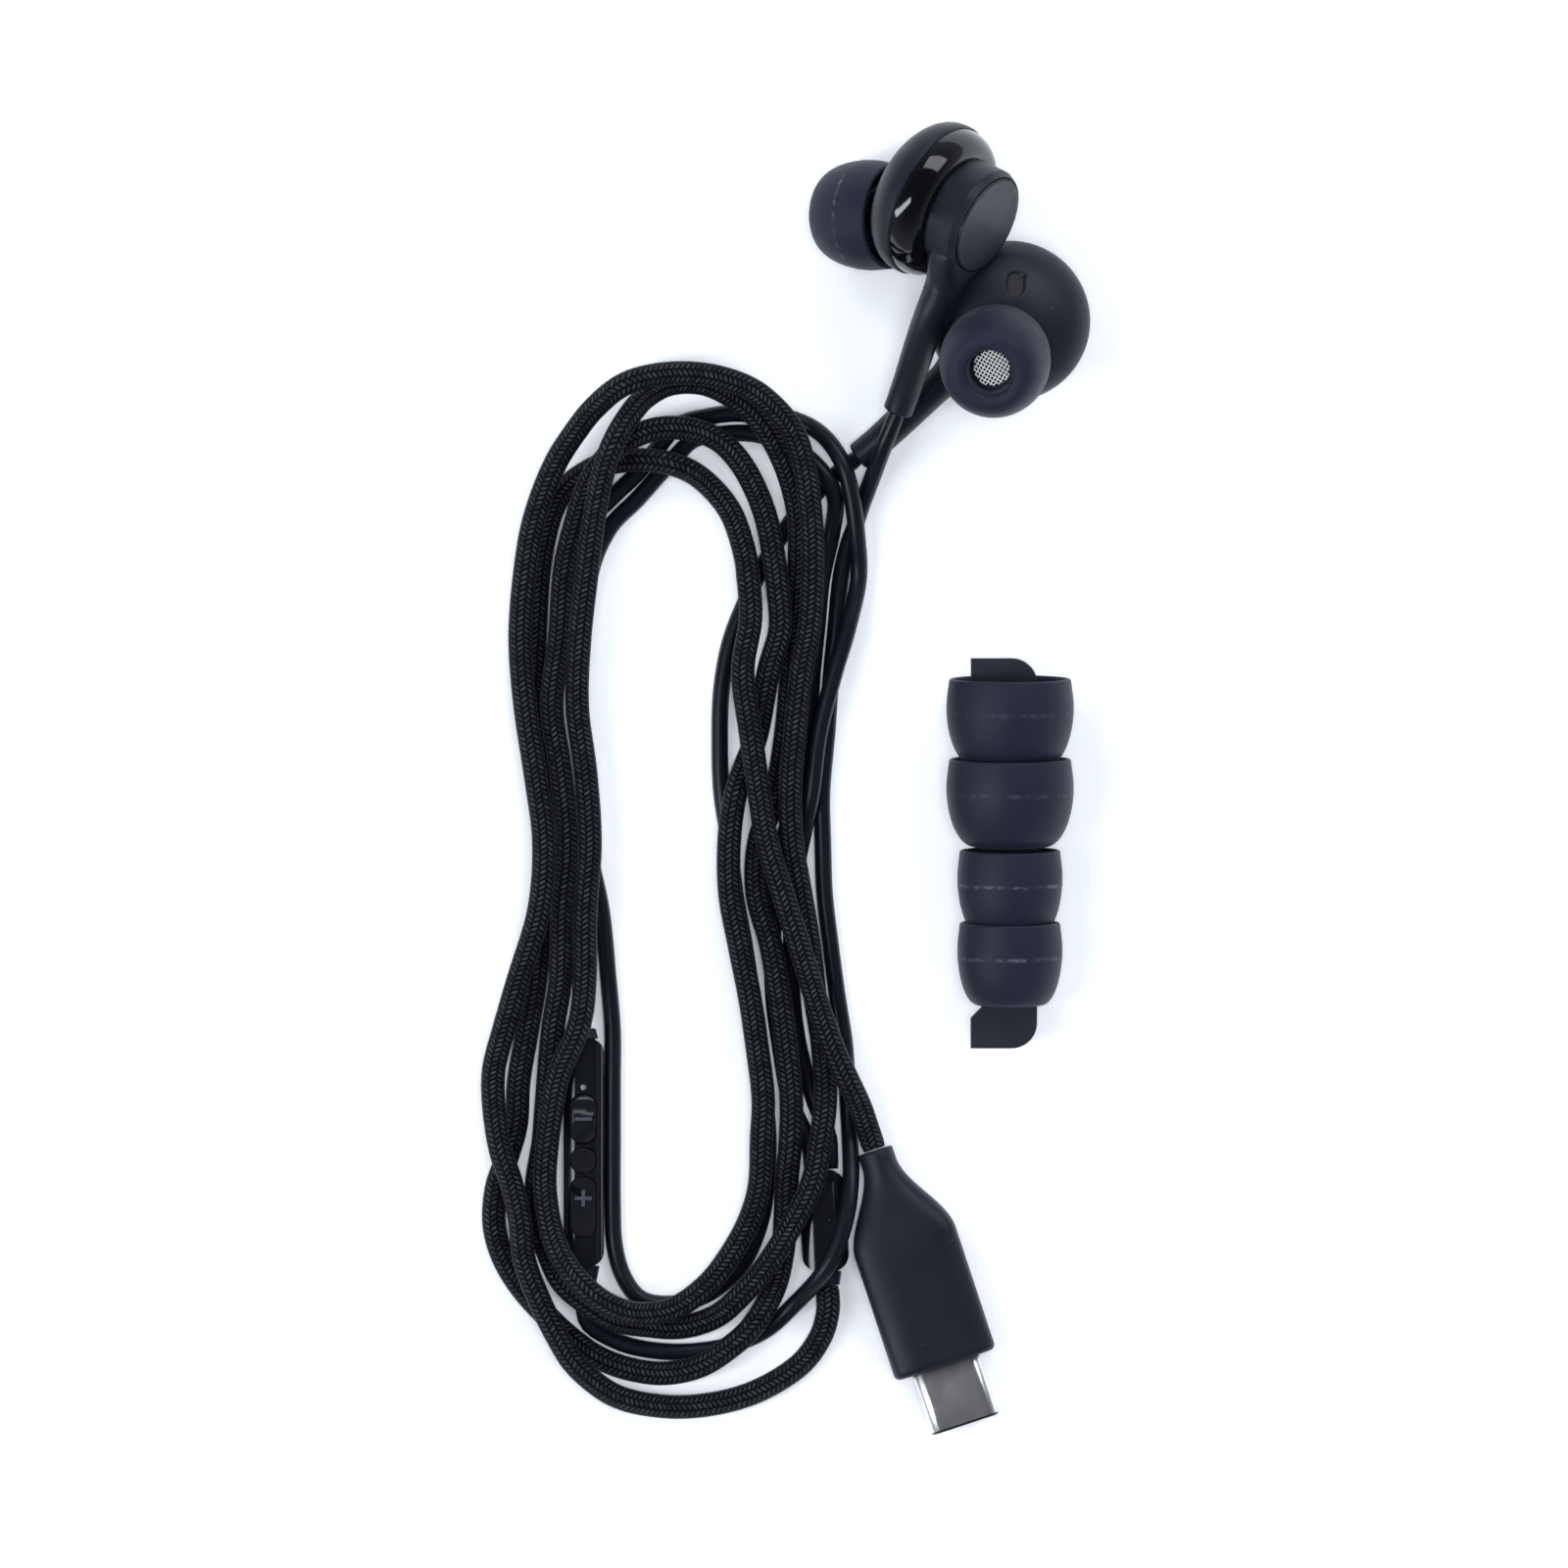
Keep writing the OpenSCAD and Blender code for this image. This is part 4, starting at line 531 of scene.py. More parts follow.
def dust_group():
    """Sparse pale specks: near the middles of a few of many scattered cells."""
    tree, given, out = group_tree(
        "dust specks",
        [("Position", "Vector", None), ("Spacing", "Float", 0.0009), ("Amount", "Float", 0.5)],
        [("Mask", "Float")],
    )
    cells = tree.nodes.new("ShaderNodeTexVoronoi")
    tree.links.new(given["Position"], cells.inputs["Vector"])
    tree.links.new(maths(tree, "DIVIDE", 1.0, given["Spacing"]), cells.inputs["Scale"])
    near = ranged(tree, cells.outputs["Distance"], 0.04, 0.1, 1.0, 0.0)
    split = tree.nodes.new("ShaderNodeSeparateColor")
    tree.links.new(cells.outputs["Color"], split.inputs[0])
    chosen = maths(tree, "LESS_THAN", split.outputs[0], maths(tree, "MULTIPLY", given["Amount"], 0.3))
    tree.links.new(maths(tree, "MULTIPLY", near, chosen), out["Mask"])
    return tree


def braid_group():
    """A braid's stitches over (distance along, share around). Columns lean left and right in turn.
    A stitch is (1 - (2w)^2)(1 - (2t)^4) for its place w along and t across its column, held at 0."""
    tree, given, out = group_tree(
        "braided stitches",
        [
            ("Run", "Vector", None), ("Stitch", "Float", 0.6),
            ("Columns", "Float", 10.0), ("Lean", "Float", 0.75),
        ],
        [("Height", "Float"), ("Stitch mask", "Float"), ("Tone", "Float")],
    )
    run = tree.nodes.new("ShaderNodeSeparateXYZ")
    tree.links.new(given["Run"], run.inputs[0])
    across = maths(tree, "MULTIPLY", run.outputs[1], given["Columns"])
    column = maths(tree, "FLOOR", across)
    t = maths(tree, "SUBTRACT", maths(tree, "FRACT", across), 0.5)
    odd = maths(tree, "MODULO", column, 2.0)
    way = maths(tree, "SUBTRACT", 1.0, maths(tree, "MULTIPLY", odd, 2.0))
    slant = maths(tree, "MULTIPLY", maths(tree, "MULTIPLY", t, way), given["Lean"])
    place = maths(tree, "ADD", maths(tree, "DIVIDE", run.outputs[0], given["Stitch"]), slant)
    place = maths(tree, "ADD", place, maths(tree, "MULTIPLY", odd, 0.5))
    w = maths(tree, "SUBTRACT", maths(tree, "FRACT", place), 0.5)
    height = maths(tree, "MULTIPLY", crowned(tree, w, 2.0), crowned(tree, t, 4.0), clamp=True)
    threads = waves(tree, t, 9.4)
    tree.links.new(maths(tree, "ADD", height, maths(tree, "MULTIPLY", threads, 0.12)), out["Height"])
    tree.links.new(maths(tree, "POWER", height, 3.5), out["Stitch mask"])
    which = tree.nodes.new("ShaderNodeCombineXYZ")
    tree.links.new(maths(tree, "FLOOR", place), which.inputs[0])
    tree.links.new(column, which.inputs[1])
    scatter = tree.nodes.new("ShaderNodeTexWhiteNoise")
    scatter.noise_dimensions = "2D"
    tree.links.new(which.outputs[0], scatter.inputs["Vector"])
    tree.links.new(scatter.outputs["Value"], out["Tone"])
    return tree


def placed(tree, group, **values):
    """A node group put in a material with its own values, and its outputs."""
    node = tree.nodes.new("ShaderNodeGroup")
    node.node_tree = group
    for label, value in values.items():
        fill(tree, node.inputs[label.replace("_", " ")], value)
    return node.outputs


def plain_material(name, metallic=0.0, roughness=0.5, specular=0.5, coat=0.0, coat_roughness=0.05, sheen=0.0):
    """A Principled material and its tree, shader and Object coordinates."""
    material = bpy.data.materials.new(name)
    material.use_nodes = True
    tree = material.node_tree
    shader = tree.nodes["Principled BSDF"]
    shader.inputs["Metallic"].default_value = metallic
    shader.inputs["Roughness"].default_value = roughness
    shader.inputs["Specular IOR Level"].default_value = specular
    shader.inputs["Coat Weight"].default_value = coat
    shader.inputs["Coat Roughness"].default_value = coat_roughness
    shader.inputs["Sheen Weight"].default_value = sheen
    position = tree.nodes.new("ShaderNodeTexCoord").outputs["Object"]
    return material, tree, shader, position


def raise_bumps(tree, shader, height, distance, strength=1.0):
    """Height to the shader's normal through one Bump node. distance is in metres."""
    bump = tree.nodes.new("ShaderNodeBump")
    bump.inputs["Strength"].default_value = strength
    bump.inputs["Distance"].default_value = distance
    tree.links.new(height, bump.inputs["Height"])
    tree.links.new(bump.outputs["Normal"], shader.inputs["Normal"])


def colour(rgb, gain=1.0):
    """Three numbers as a shader colour, brightened or darkened."""
    return tuple(min(1.0, c * gain) for c in rgb[:3]) + (1.0,)


def moulded(name, rgb, roughness, grain=0.00012, bump=0.000006, dust=0.0, contrast=0.25, **shader_values):
    """Moulded plastic, rubber or silicone: a cloudy colour, a fine grain, smudged gloss and dust."""
    material, tree, shader, position = plain_material(name, roughness=roughness, **shader_values)
    skin = placed(tree, GROUPS["grain"], Position=position, Grain_size=grain)
    base = mixed(tree, skin["Tone"], colour(rgb, 1 - contrast), colour(rgb, 1 + contrast))
    if dust:
        specks = placed(tree, GROUPS["dust"], Position=position, Amount=dust)
        base = mixed(tree, maths(tree, "MULTIPLY", specks["Mask"], 0.55), base, (0.16, 0.17, 0.19, 1.0))
    tree.links.new(base, shader.inputs["Base Color"])
    tree.links.new(
        ranged(tree, skin["Smudge"], 0.0, 1.0, max(0.02, roughness * 0.88), min(1.0, roughness * 1.14)),
        shader.inputs["Roughness"],
    )
    raise_bumps(tree, shader, skin["Height"], bump)
    return material


def silicone(name, rgb, dust):
    """Soft silicone: matte and faintly cloudy, with a pale broken line along the mould's parting."""
    material, tree, shader, position = plain_material(name, roughness=0.56, specular=0.25, sheen=0.05)
    shader.inputs["Sheen Roughness"].default_value = 0.4
    skin = placed(tree, GROUPS["grain"], Position=position, Grain_size=0.00018, Cloud_size=0.006)
    base = mixed(tree, skin["Tone"], colour(rgb, 0.78), colour(rgb, 1.22))
    specks = placed(tree, GROUPS["dust"], Position=position, Spacing=0.0011, Amount=dust)
    base = mixed(tree, maths(tree, "MULTIPLY", specks["Mask"], 0.3), base, (0.12, 0.13, 0.16, 1.0))
    line = tree.nodes.new("ShaderNodeAttribute")
    line.attribute_name = "parting"
    broken = ranged(tree, noise(tree, position, 900.0, 2.0), 0.48, 0.66, 0.05, 1.0)
    flash = maths(tree, "MULTIPLY", line.outputs["Fac"], broken)
    base = mixed(tree, maths(tree, "MULTIPLY", flash, 0.65), base, (0.16, 0.17, 0.21, 1.0))
    tree.links.new(base, shader.inputs["Base Color"])
    tree.links.new(ranged(tree, skin["Smudge"], 0.0, 1.0, 0.5, 0.62), shader.inputs["Roughness"])
    raise_bumps(tree, shader, skin["Height"], 0.000007)
    return material


def braided(name, rgb, stitch_crown_highlight):
    """Textile braid: slanted stitches in columns along the cord, each its own tone, with a painted highlight
    on each stitch's crown and painted shade between stitches.
    """
    material, tree, shader, position = plain_material(name, roughness=0.6, specular=0.14, sheen=0.02)
    shader.inputs["Sheen Roughness"].default_value = 0.35
    uv = tree.nodes.new("ShaderNodeUVMap")
    uv.uv_map = "run"
    stitches = placed(tree, GROUPS["braid"], Run=uv.outputs[0])
    tone = ranged(tree, stitches["Tone"], 0.0, 1.0, 0.3, 1.0)
    # Each stitch's pale crown colour is a painted highlight, and the ground halved between stitches is
    # painted shade.
    lit = mixed(tree, tone, colour(rgb, 1.2), stitch_crown_highlight)
    base = mixed(tree, stitches["Stitch mask"], colour(rgb, 0.5), lit)
    tree.links.new(base, shader.inputs["Base Color"])
    tree.links.new(ranged(tree, stitches["Height"], 0.0, 1.0, 0.8, 0.48), shader.inputs["Roughness"])
    fuzz = noise(tree, position, 9000.0, 2.0)
    height = maths(tree, "ADD", stitches["Height"], maths(tree, "MULTIPLY", fuzz, 0.15))
    raise_bumps(tree, shader, height, 0.00014)
    return material


def metal(name, rgb, roughness, stretch=(1.0, 1.0, 1.0), scratch=0.25, bump=0.000002, metallic=1.0):
    """Bare metal: roughness and tone broken by noise stretched along the way it was rubbed."""
    material, tree, shader, position = plain_material(name, metallic=metallic, roughness=roughness)
    mapping = tree.nodes.new("ShaderNodeMapping")
    mapping.inputs["Scale"].default_value = stretch
    tree.links.new(position, mapping.inputs["Vector"])
    skin = placed(tree, GROUPS["grain"], Position=mapping.outputs[0], Grain_size=0.00016, Cloud_size=0.0016)
    base = mixed(tree, skin["Tone"], colour(rgb, 1 - scratch), colour(rgb, 1 + scratch))
    tree.links.new(base, shader.inputs["Base Color"])
    tree.links.new(
        ranged(tree, skin["Tone"], 0.2, 0.8, roughness * 0.8, roughness * 1.25), shader.inputs["Roughness"]
    )
    raise_bumps(tree, shader, skin["Height"], bump)
    return material


def woven(name):
    """Fine dark cloth whose knots, the product of two sines a quarter of a millimetre long, are raised and
    carry a painted glint.
    """
    material, tree, shader, position = plain_material(name, metallic=0.6, roughness=0.35)
    split = tree.nodes.new("ShaderNodeSeparateXYZ")
    tree.links.new(position, split.inputs[0])
    rate = math.tau / (0.25 * MM)
    warp, weft = (maths(tree, "SINE", maths(tree, "MULTIPLY", split.outputs[k], rate)) for k in (0, 1))
    knot_and_glint = maths(tree, "MULTIPLY", warp, weft, clamp=True)
    # Painted glint: the knots' tops are coloured pale in place of the light they catch.
    base = mixed(tree, knot_and_glint, (0.004, 0.004, 0.005, 1.0), (0.14, 0.14, 0.16, 1.0))
    tree.links.new(base, shader.inputs["Base Color"])
    raise_bumps(tree, shader, knot_and_glint, 0.00003)
    return material


def circuit_board(name):
    """A coated board: green, with paler straight tracks where stretched noise peaks."""
    material, tree, shader, position = plain_material(name, roughness=0.35, coat=0.4)
    mapping = tree.nodes.new("ShaderNodeMapping")
    mapping.inputs["Scale"].default_value = (1.0, 0.12, 1.0)
    tree.links.new(position, mapping.inputs["Vector"])
    tracks = ranged(tree, noise(tree, mapping.outputs[0], 2600.0, 0.0), 0.55, 0.6, 0.0, 1.0)
    base = mixed(tree, tracks, (0.01, 0.07, 0.03, 1.0), (0.05, 0.2, 0.09, 1.0))
    tree.links.new(base, shader.inputs["Base Color"])
    raise_bumps(tree, shader, tracks, 0.00002)
    return material


def wound_wire(name, m):
    """Lacquered copper winding: fine rounds about a bud's own axis, darker in the grooves between turns as
    painted shade.
    """
    material, tree, shader, position = plain_material(name, metallic=1.0, roughness=0.3)
    axis = tree.nodes.new("ShaderNodeVectorMath")
    axis.operation = "DOT_PRODUCT"
    tree.links.new(position, axis.inputs[0])
    axis.inputs[1].default_value = tuple(m[:3, 2])
    wire = waves(tree, axis.outputs["Value"], math.pi / COIL_WIRE)
    # Painted shade: dark copper in the grooves between turns, full copper on their crowns.
    base = mixed(tree, wire, (0.25, 0.08, 0.03, 1.0), (0.75, 0.36, 0.18, 1.0))
    tree.links.new(base, shader.inputs["Base Color"])
    raise_bumps(tree, shader, wire, 0.00003)
    return material


GROUPS = {}
MATERIALS = {}


def make_materials(look):
    """All the groups and materials, from the panel's colours."""
    GROUPS.update(grain=grain_group(), dust=dust_group(), braid=braid_group())
    shell, tip, cord = look.shell_colour, look.silicone_colour, look.cord_colour
    MATERIALS.update(
        matte_shell=moulded("matte shell", shell, 0.46, dust=0.25, specular=0.32),
        cap_face=moulded("cap face", colour(shell, 1.25), 0.42, grain=0.0001, specular=0.4),
        gloss_shell=moulded(
            "gloss shell", (0.0015, 0.002, 0.003), 0.09, bump=0.0000012, dust=0.06, specular=0.4, coat=0.3
        ),
        silicone=silicone("ear tip silicone", tip, 0.5),
        boot=moulded("moulded boot", colour(shell, 0.9), 0.44, dust=0.3, specular=0.32),
        smooth_cord=moulded(
            "smooth cord jacket", colour(shell, 0.6), 0.36, grain=0.0002, bump=0.000005, specular=0.3
        ),
        braid=braided("braided sleeve", cord, tuple(look.stitch_highlight_colour) + (1.0,)),
        remote=moulded(
            "remote case", (0.004, 0.005, 0.007), 0.2, bump=0.000002, dust=0.2, specular=0.4, coat=0.2
        ),
        button=moulded("button cap", (0.005, 0.0058, 0.0078), 0.24, bump=0.000002, specular=0.4, coat=0.15),
        mark=moulded("raised mark", (0.045, 0.048, 0.07), 0.45, specular=0.4),
        plug=moulded(
            "plug rubber", look.plug_colour, 0.47, grain=0.00016, bump=0.000007, dust=0.5, specular=0.3
        ),
        card=moulded("card sheet", (0.011, 0.0125, 0.019), 0.5, grain=0.0003, bump=0.000008, dust=0.2),
        black=moulded("black insulator", (0.012, 0.012, 0.014), 0.5),
        film=moulded("diaphragm film", (0.3, 0.25, 0.18), 0.25, bump=0.000003, coat=0.3),
        steel=metal(
            "satin steel", (0.8, 0.79, 0.81), 0.24, stretch=(1.0, 0.5, 1.0), scratch=0.2, metallic=0.95
        ),
        # The wire is white and barely metallic: its paleness is painted, standing in for the steel's
        # reflections.
        bright_steel=metal("woven steel wire", (1.0, 1.0, 1.0), 0.4, scratch=0.05, metallic=0.1),
        vent=woven("vent cloth"),
        dark_ring=metal("dark trim ring", (0.05, 0.052, 0.06), 0.25, scratch=0.15),
        nickel=metal("nickel plate", (0.55, 0.53, 0.5), 0.2),
        gold=metal("gold plate", (0.8, 0.55, 0.2), 0.25, scratch=0.1),
        board=circuit_board("coated circuit board"),
        left_coil=wound_wire("left coil winding", bud_frame("left")),
        right_coil=wound_wire("right coil winding", bud_frame("right")),
    )


# ---- Cords ----
def cord_line(route, radius):
    """A cord's centre line: the smooth curve through its route, held at its own radius over the table."""
    line = through(route, 12)
    line[:, 2] = np.maximum(line[:, 2], radius)
    return line


def cord_piece(name, route, diameter, node, material, slot, spacing, sides, lobes=0, depth=0.0):
    """A round cord along its route, with (distance along in mm, share around) as its map. Its last rings
    are narrowed to 0.92 of its radius and its ends closed flat. Returns the piece, its line and its length."""
    line, along = evenly(cord_line(route, diameter / 2), spacing)
    radii = np.full(len(line), diameter / 2)
    radii[[0, -1]] *= 0.92
    rings = swept(line, radii, sides, lobes, depth)
    share = np.arange(sides + 1) / sides
    run = np.concatenate([along[:1], along, along[-1:]]) / MM
    uv = np.stack(np.broadcast_arrays(run[:, None], share[None, :]), -1)
    piece = make_piece(name, [(rings, True, uv)], "earphones", material, (node,), sharp=60)
    return piece, line, float(along[-1])


def make_cords(sizes):
    """The braided cord, the two halves of the right bud's cord and the left bud's cord."""
    smooth = dict(
        diameter=CORD_DIAMETER, material=MATERIALS["smooth_cord"], slot="smooth_cord",
        spacing=0.0009, sides=24,
    )
    braid = cord_piece(
        "braided_cord", MAIN_ROUTE, BRAID_DIAMETER, "main_cord", MATERIALS["braid"], "braided_cord",
        sizes.ring_spacing, 40, int(sizes.braid_columns), sizes.braid_relief,
    )
    upper = cord_piece("right_bud_cord", RIGHT_UPPER_ROUTE, node="right_cord_upper", **smooth)
    lower = cord_piece("remote_to_splitter_cord", RIGHT_LOWER_ROUTE, node="right_cord_lower", **smooth)
    left = cord_piece("left_bud_cord", LEFT_ROUTE, node="left_cord", **smooth)


# ---- Ear tips ----
def quarter(start_r, start_z, end_r, end_z, count=14):
    """A quarter of an ellipse from its widest point to its highest, as (radius, height)."""
    a = np.linspace(0, math.pi / 2, count)
    return np.column_stack([end_r + (start_r - end_r) * np.cos(a), start_z + (end_z - start_z) * np.sin(a)])


def tip_outline(diameter, length, nose, sleeve, wall, parting):
    """A closed outline of an ear tip: skirt lip, side, dome, mouth, bore, sleeve and inner dome, and
    how near each point is to the parting line. The line stands 0.04 mm proud as a narrow bell."""
    bore, setback = TIP_BORE, TIP_SETBACK
    r, wide = diameter / 2, 0.32 * length
    skirt = 0.955 * r
    side_z = np.linspace(0.25 * MM, wide, 26)
    side_r = skirt + (r - skirt) * smooth_step(side_z / wide) ** 0.7
    dome = quarter(r, wide, nose, length, 34)[1:]
    outer = np.vstack([np.column_stack([side_r, side_z]), dome])
    near = np.exp(-(((outer[:, 1] - parting) / (0.12 * MM)) ** 2)) * (outer[:, 0] > 0.7 * r)
    outer[:, 0] += 0.04 * MM * near
    mouth = quarter(bore / 2 + 0.75 * MM, length - 0.9 * MM, bore / 2, length, 9)
    mouth = np.column_stack([bore + 0.75 * MM - mouth[::-1, 0], mouth[::-1, 1]])
    sleeve_rows = np.array([[bore / 2, setback], [bore / 2 + 0.2 * MM, setback - 0.12 * MM],
                            [sleeve - 0.2 * MM, setback - 0.12 * MM], [sleeve, setback]])
    inner = quarter(r - wall, wide, sleeve, length - 1.9 * MM, 16)[::-1]
    a = np.linspace(0, math.pi, 8)
    lip = np.column_stack([skirt - 0.25 * MM - 0.25 * MM * np.cos(a), 0.25 * MM - 0.25 * MM * np.sin(a)])
    outline = np.vstack([outer, mouth[1:], sleeve_rows, inner, lip[:-1]])
    marks = np.r_[near, np.zeros(len(outline) - len(near))]
    return outline, marks, len(outer), len(outer) + len(mouth) - 1


def add_parting(piece, rows, sides, marks):
    """Keeps how near each point is to the parting line, for the silicone's pale broken line."""
    points = np.empty(len(piece.data.vertices) * 3)
    piece.data.vertices.foreach_get("co", points)
    tree = rows.reshape(-1, 3)
    values = np.repeat(marks, sides)
    # Each mesh point is one of the grid's points: match both lists in the same order
    order = np.lexsort(np.round(tree, 8).T)
    wanted = np.lexsort(np.round(points.reshape(-1, 3), 8).T)
    near = np.zeros(len(wanted), np.float32)
    if len(order) == len(wanted):
        near[wanted] = values[order]
    piece.data.attributes.new("parting", "FLOAT", "POINT").data.foreach_set("value", near)


def make_fitted_tips(sizes):
    """The two tips on the buds, spun about each sound tube."""
    outline, marks, _, _ = tip_outline(*FITTED_TIP, sizes.tip_wall, sizes.parting_height)
    for side in BUDS:
        grid = turned(outline, sizes.tip_sides, nozzle_frame(side) @ shift(0, 0, FITTED_SKIRT))
        piece = make_piece(
            side + "_silicone_tip", [(grid, True, None)], side + "_tip",
            MATERIALS["silicone"], (side + "_ear_tip",), sharp=50,
        )
        add_parting(piece, grid[:-1], sizes.tip_sides, marks)


def card_frame():
    """4x4 of the card: y = 0 at its upper end, and z = 0 its middle plane, leaned as its lift shows."""
    slide = next(j for j in frame["joints"] if j["name"] == "spare_2_slide")
    up = unit(slide["axis"])
    lean = math.degrees(math.atan2(up[2], up[1]))
    low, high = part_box("tip_card")
    upper_z = high[2] - 0.4 * MM * math.cos(math.radians(lean))
    return shift(CARD_AT[0], CARD_AT[1], upper_z) @ turn("x", lean)


def flattened(grid_angle, half_width, half_depth, power=0.5):
    """An oblong loop's points at each angle, for a bore that is stretched over the flat card."""
    c, s = np.cos(grid_angle), np.sin(grid_angle)
    return (half_width * np.sign(c) * np.abs(c) ** power, half_depth * np.sign(s) * np.abs(s) ** power)


def make_spare_tips(sizes):
    """The four spare tips. Each is a spun outline whose bore and sleeve are stretched flat round the card."""
    m = card_frame()
    sides = sizes.tip_sides
    angle = np.arange(sides) * 2 * math.pi / sides
    for number, skirt in enumerate(CARD_SKIRTS, 1):
        tip = LARGE_SPARE_TIP if number < 3 else SMALL_SPARE_TIP
        outline, marks, outer, mouth = tip_outline(*tip, sizes.tip_wall, sizes.parting_height)
        r, z = outline[:, 0], outline[:, 1]
        x, y = r[:, None] * np.cos(angle), r[:, None] * np.sin(angle)
        flat = flattened(angle, SLOT_HALF_WIDTH, SLOT_HALF_DEPTH)
        core = np.zeros(len(r))
        core[outer:mouth + 2] = 1
        core[outer:mouth] = np.linspace(0.35, 1, mouth - outer)
        around = flattened(angle, min(SLEEVE_HALF_WIDTH, tip[2] + 0.2 * MM), SLEEVE_HALF_DEPTH, 0.7)
        x = np.where(core[:, None] > 0, x + core[:, None] * (flat[0] - x), x)
        y = np.where(core[:, None] > 0, y + core[:, None] * (flat[1] - y), y)
        x[mouth + 2:mouth + 4], y[mouth + 2:mouth + 4] = around
        grid = np.stack([x, y, z[:, None] + 0 * angle], -1)
        grid = moved(grid, m @ shift(0, -skirt, 0) @ turn("x", 90))
        node, body = "spare_tip_%d" % number, "spare_%d" % number
        piece = make_piece(
            node + "_silicone", [(np.concatenate([grid, grid[:1]]), True, None)], body,
            MATERIALS["silicone"], (node,), sharp=50,
        )
        add_parting(piece, grid, sides, marks)


# ---- Boots, meshes and plug ----
def make_stem_boots():
    """Each bud's bend relief: a cubic from the barrel's neck to the cord's first point, tapering, with a
    rounded free end that the thinner cord comes out of."""
    for side, route in (("left", LEFT_ROUTE), ("right", RIGHT_UPPER_ROUTE)):
        m = bud_frame(side)
        down = -m[:3, 1]
        start = moved(np.array([0, -NECK_REACH, STEM_HEIGHT]), m)
        end, second = np.array(route[0]), np.array(route[1])
        along = unit(second - end)
        end = end - 0.05 * MM * along
        reach = np.linalg.norm(end - start) / 3
        b, c = start + reach * down, end - reach * along
        t = np.linspace(0, 1, 70)[:, None]
        path = (1 - t) ** 3 * start + 3 * (1 - t) ** 2 * t * b + 3 * (1 - t) * t**2 * c + t**3 * end
        path, run = evenly(path, 0.18 * MM)
        radii = (RELIEF_NECK + (RELIEF_END - RELIEF_NECK) * run / run[-1]) / 2
        past = np.clip(1 - (run[-1] - run) / RELIEF_ROUNDING, 0, 1)
        radii -= RELIEF_ROUNDING * (1 - np.sqrt(1 - past**2))
        make_piece(
            side + "_bend_relief", [(swept(path, radii, 40), True, None)], "earphones",
            MATERIALS["boot"], (side + "_stem_boot",), sharp=50,
        )


def make_stem_fairings():
    """The swell between each barrel and its bend relief: oblong rings that narrow by 3t^2 - 2t^3, from
    wide inside the barrel to round over the top of the relief."""
    for side in BUDS:
        m = bud_frame(side) @ shift(0, 0, STEM_HEIGHT) @ turn("z", 180)
        sections = []
        for t in np.linspace(0, 1, 40):
            flare = 1 - float(smooth_step(t))
            width = FAIRING_WIDTHS[1] + (FAIRING_WIDTHS[0] - FAIRING_WIDTHS[1]) * flare
            depth = FAIRING_DEPTHS[1] + (FAIRING_DEPTHS[0] - FAIRING_DEPTHS[1]) * flare
            ring = squared_ring(width, depth, 1 - 0.5 * flare, 64)
            sections.append((FAIRING_REACH[0] + (FAIRING_REACH[1] - FAIRING_REACH[0]) * t, ring))
        y, ring = sections[-1]
        sections.append((y + 0.06 * MM, ring * 0.985))
        make_piece(
            side + "_stem_fairing", [(strung(sections, m), True, None)], "earphones",
            MATERIALS["boot"], sharp=50,
        )


def woven_wires(radius, pitch, wire, amplitude, m):
    """Two sets of parallel wires that pass over and under each other: z = a cos(pi y / pitch + k pi).
    Each wire spans the disc's chord. Returns one sheet for each wire."""
    count = int(radius / pitch)
    sheets = []
    ring = np.arange(6) * math.pi / 3
    for turned_by, phase in ((0, 0), (90, 1)):
        for k in range(-count, count + 1):
            half = math.sqrt(max(radius**2 - (k * pitch) ** 2, (0.3 * pitch) ** 2))
            y = np.linspace(-half, half, 48)
            z = amplitude * np.cos(math.pi * (y / pitch + k + phase))
            reach = np.full(len(y), wire)
            reach[[0, -1]] = 0
            x = k * pitch + reach[:, None] * np.cos(ring)
            z = z[:, None] + reach[:, None] * np.sin(ring)
            grid = np.stack(np.broadcast_arrays(x, y[:, None], z), -1)
            sheets.append((moved(grid, m @ turn("z", turned_by)), True, None))
    return sheets


def make_meshes(sizes):
    """The woven steel disc in each sound tube, and steel for the small vent meshes."""
    for side in BUDS:
        m = nozzle_frame(side) @ shift(0, 0, NOZZLE_LENGTH - MESH_SETBACK) @ turn("z", MESH_TURN)
        sheets = woven_wires(NOZZLE_MOUTH_RADIUS, sizes.mesh_pitch, WIRE_RADIUS, WIRE_WAVE, m)
        make_piece(
            side + "_woven_mesh", sheets, "earphones",
            MATERIALS["bright_steel"], (side + "_nozzle_mesh",), sharp=80,
        )
        set_finish(side + "_vent_mesh", "vent")


